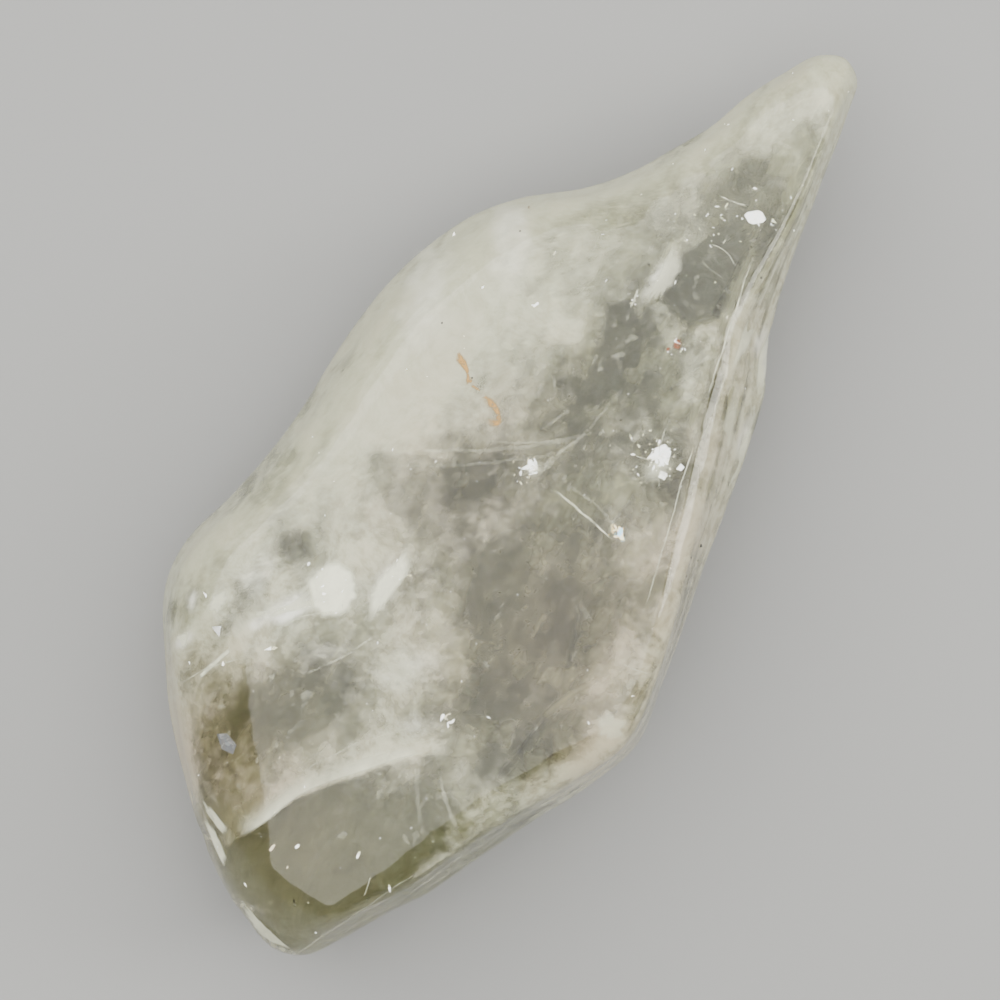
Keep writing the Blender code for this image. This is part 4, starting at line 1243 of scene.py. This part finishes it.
    def flakes(self, middles, size, rng):
        """Six-cornered leaves: corners on an uneven ring in a plane that is tilted at random."""
        count = len(size)
        shape = (count, self.FLAKE_CORNERS)
        angle = np.arange(self.FLAKE_CORNERS) * 2 * np.pi / self.FLAKE_CORNERS + rng.uniform(-0.4, 0.4, shape)
        reach = size[:, None] * rng.uniform(0.5, 1.2, shape)
        u = reach * np.cos(angle) * rng.uniform(1.2, 4.0, (count, 1))
        v = reach * np.sin(angle)
        dx, dy = off_axis(v, u, rng.uniform(0, 180, (count, 1)))
        tilt_x, tilt_y = rng.normal(0, 0.10, (count, 1)), rng.normal(0, 0.10, (count, 1))
        points = middles[:, None] + np.stack([dx, dy, dx * tilt_x + dy * tilt_y], -1)
        away = np.hypot(middles[:, 0] - self.RAINBOW[0], middles[:, 1] - self.RAINBOW[1])
        new_object(
            "sparkling_flakes", points, [np.arange(points[..., 0].size).reshape(shape)], flake_material(),
            smooth=False, rainbow=np.repeat(soft_step(0.8, 0.5, away), self.FLAKE_CORNERS),
        )

    def plates(self):
        """Flat leaves with the given corners, which lie on the face and mirror the light."""
        pile = Pile()
        for corners in self.PLATES:
            x, y = np.array(corners).T
            pile.add(on_face(x, y), [np.arange(len(x))[::-1][None]], np.zeros(len(x)))
        pile.make("bright_plates", flake_material())


class PRASIOLITE_OT_stage(Operator):
    """Plain pale floor, soft studio light and the camera that looks down on the stone"""

    bl_idname = "prasiolite.stage"
    bl_label = "Stage"

    VIEW_CENTRE = (0.0, -1.39, 5.5)
    VIEW_WIDTH = 50.0
    VIEW_TURN = 0.5622  # radians that the camera's upper side is turned from +Y towards -X
    SENSOR = 36.0
    FLOOR_LEVEL = -0.00003  # metres, a hair under the resting facet
    LIGHT_COLOUR = (1.0, 0.985, 0.915)
    SKY_COLOUR = (1.0, 0.99, 0.965, 1.0)

    def execute(self, context):
        settings = context.scene.prasiolite.stage
        self.floor(context, settings)
        self.lights(context, settings)
        self.camera(context, settings)
        return {"FINISHED"}

    def floor(self, context, settings):
        half = settings.floor_size / 2
        mesh = bpy.data.meshes.new("floor")
        corners = [(x * half, y * half, self.FLOOR_LEVEL) for x, y in ((-1, -1), (1, -1), (1, 1), (-1, 1))]
        mesh.from_pydata(corners, [], [(0, 1, 2, 3)])
        tree = Tree("floor_paper")
        paper = tree.add("ShaderNodeBsdfDiffuse", {"Color": settings.floor_colour}, "BSDF")
        tree.links.new(paper, tree.output.inputs["Surface"])
        mesh.materials.append(tree.material)
        floor = bpy.data.objects.new("floor", mesh)
        context.scene.collection.objects.link(floor)

    def lights(self, context, settings):
        world = bpy.data.worlds.new("studio")
        world.use_nodes = True
        sky = world.node_tree.nodes["Background"].inputs
        sky["Color"].default_value, sky["Strength"].default_value = self.SKY_COLOUR, settings.sky_strength
        context.scene.world = world
        for name, place, size, power in (
            ("key", (-0.16, 0.16, 0.80), 1.70, settings.key_power),
            ("side", (-0.52, 0.16, 0.24), 0.26, settings.side_power),
            ("fill", (0.40, 0.30, 0.30), 0.24, settings.fill_power),
        ):
            data = bpy.data.lights.new(name, "AREA")
            data.energy, data.size, data.color = power, size, self.LIGHT_COLOUR
            light = bpy.data.objects.new(name, data)
            light.location = place
            light.rotation_euler = (-Vector(place)).to_track_quat("-Z", "Y").to_euler()
            context.scene.collection.objects.link(light)

    def camera(self, context, settings):
        data = bpy.data.cameras.new("camera")
        data.lens, data.sensor_width, data.clip_start = settings.lens, self.SENSOR, 0.01
        camera = bpy.data.objects.new("camera", data)
        x, y, z = self.VIEW_CENTRE
        camera.location = (x * MM, y * MM, (z + self.VIEW_WIDTH * settings.lens / self.SENSOR) * MM)
        camera.rotation_euler = (0, 0, self.VIEW_TURN)
        context.scene.collection.objects.link(camera)
        context.scene.camera = camera
        cycles = context.scene.cycles
        cycles.max_bounces, cycles.transmission_bounces, cycles.transparent_max_bounces = 5, 5, 8
        cycles.diffuse_bounces, cycles.glossy_bounces = 2, 2
        cycles.use_denoising, cycles.adaptive_threshold = True, 0.2


class PRASIOLITE_PT_panel(Panel):
    bl_label = "Prasiolite"
    bl_space_type = "VIEW_3D"
    bl_region_type = "UI"
    bl_category = "Prasiolite"

    def draw(self, context):
        settings = context.scene.prasiolite
        for group in (settings.quartz, settings.veil, settings.stage):
            box = self.layout.box()
            for key in group.__annotations__:
                box.prop(group, key)
        for operator in OPERATORS:
            self.layout.operator(operator.bl_idname)


OPERATORS = (
    PRASIOLITE_OT_skin, PRASIOLITE_OT_veils, PRASIOLITE_OT_fractures, PRASIOLITE_OT_patches,
    PRASIOLITE_OT_flakes, PRASIOLITE_OT_stage,
)
CLASSES = (QuartzSettings, VeilSettings, StageSettings, StoneSettings, *OPERATORS, PRASIOLITE_PT_panel)


def register():
    for cls in CLASSES:
        bpy.utils.register_class(cls)
    bpy.types.Scene.prasiolite = PointerProperty(type=StoneSettings)


def unregister():
    del bpy.types.Scene.prasiolite
    for cls in reversed(CLASSES):
        bpy.utils.unregister_class(cls)


def main():
    """Registers the add-on and makes every piece."""
    register()
    for operator in OPERATORS:
        group, name = operator.bl_idname.split(".")
        getattr(getattr(bpy.ops, group), name)()


if __name__ == "__main__":
    main()
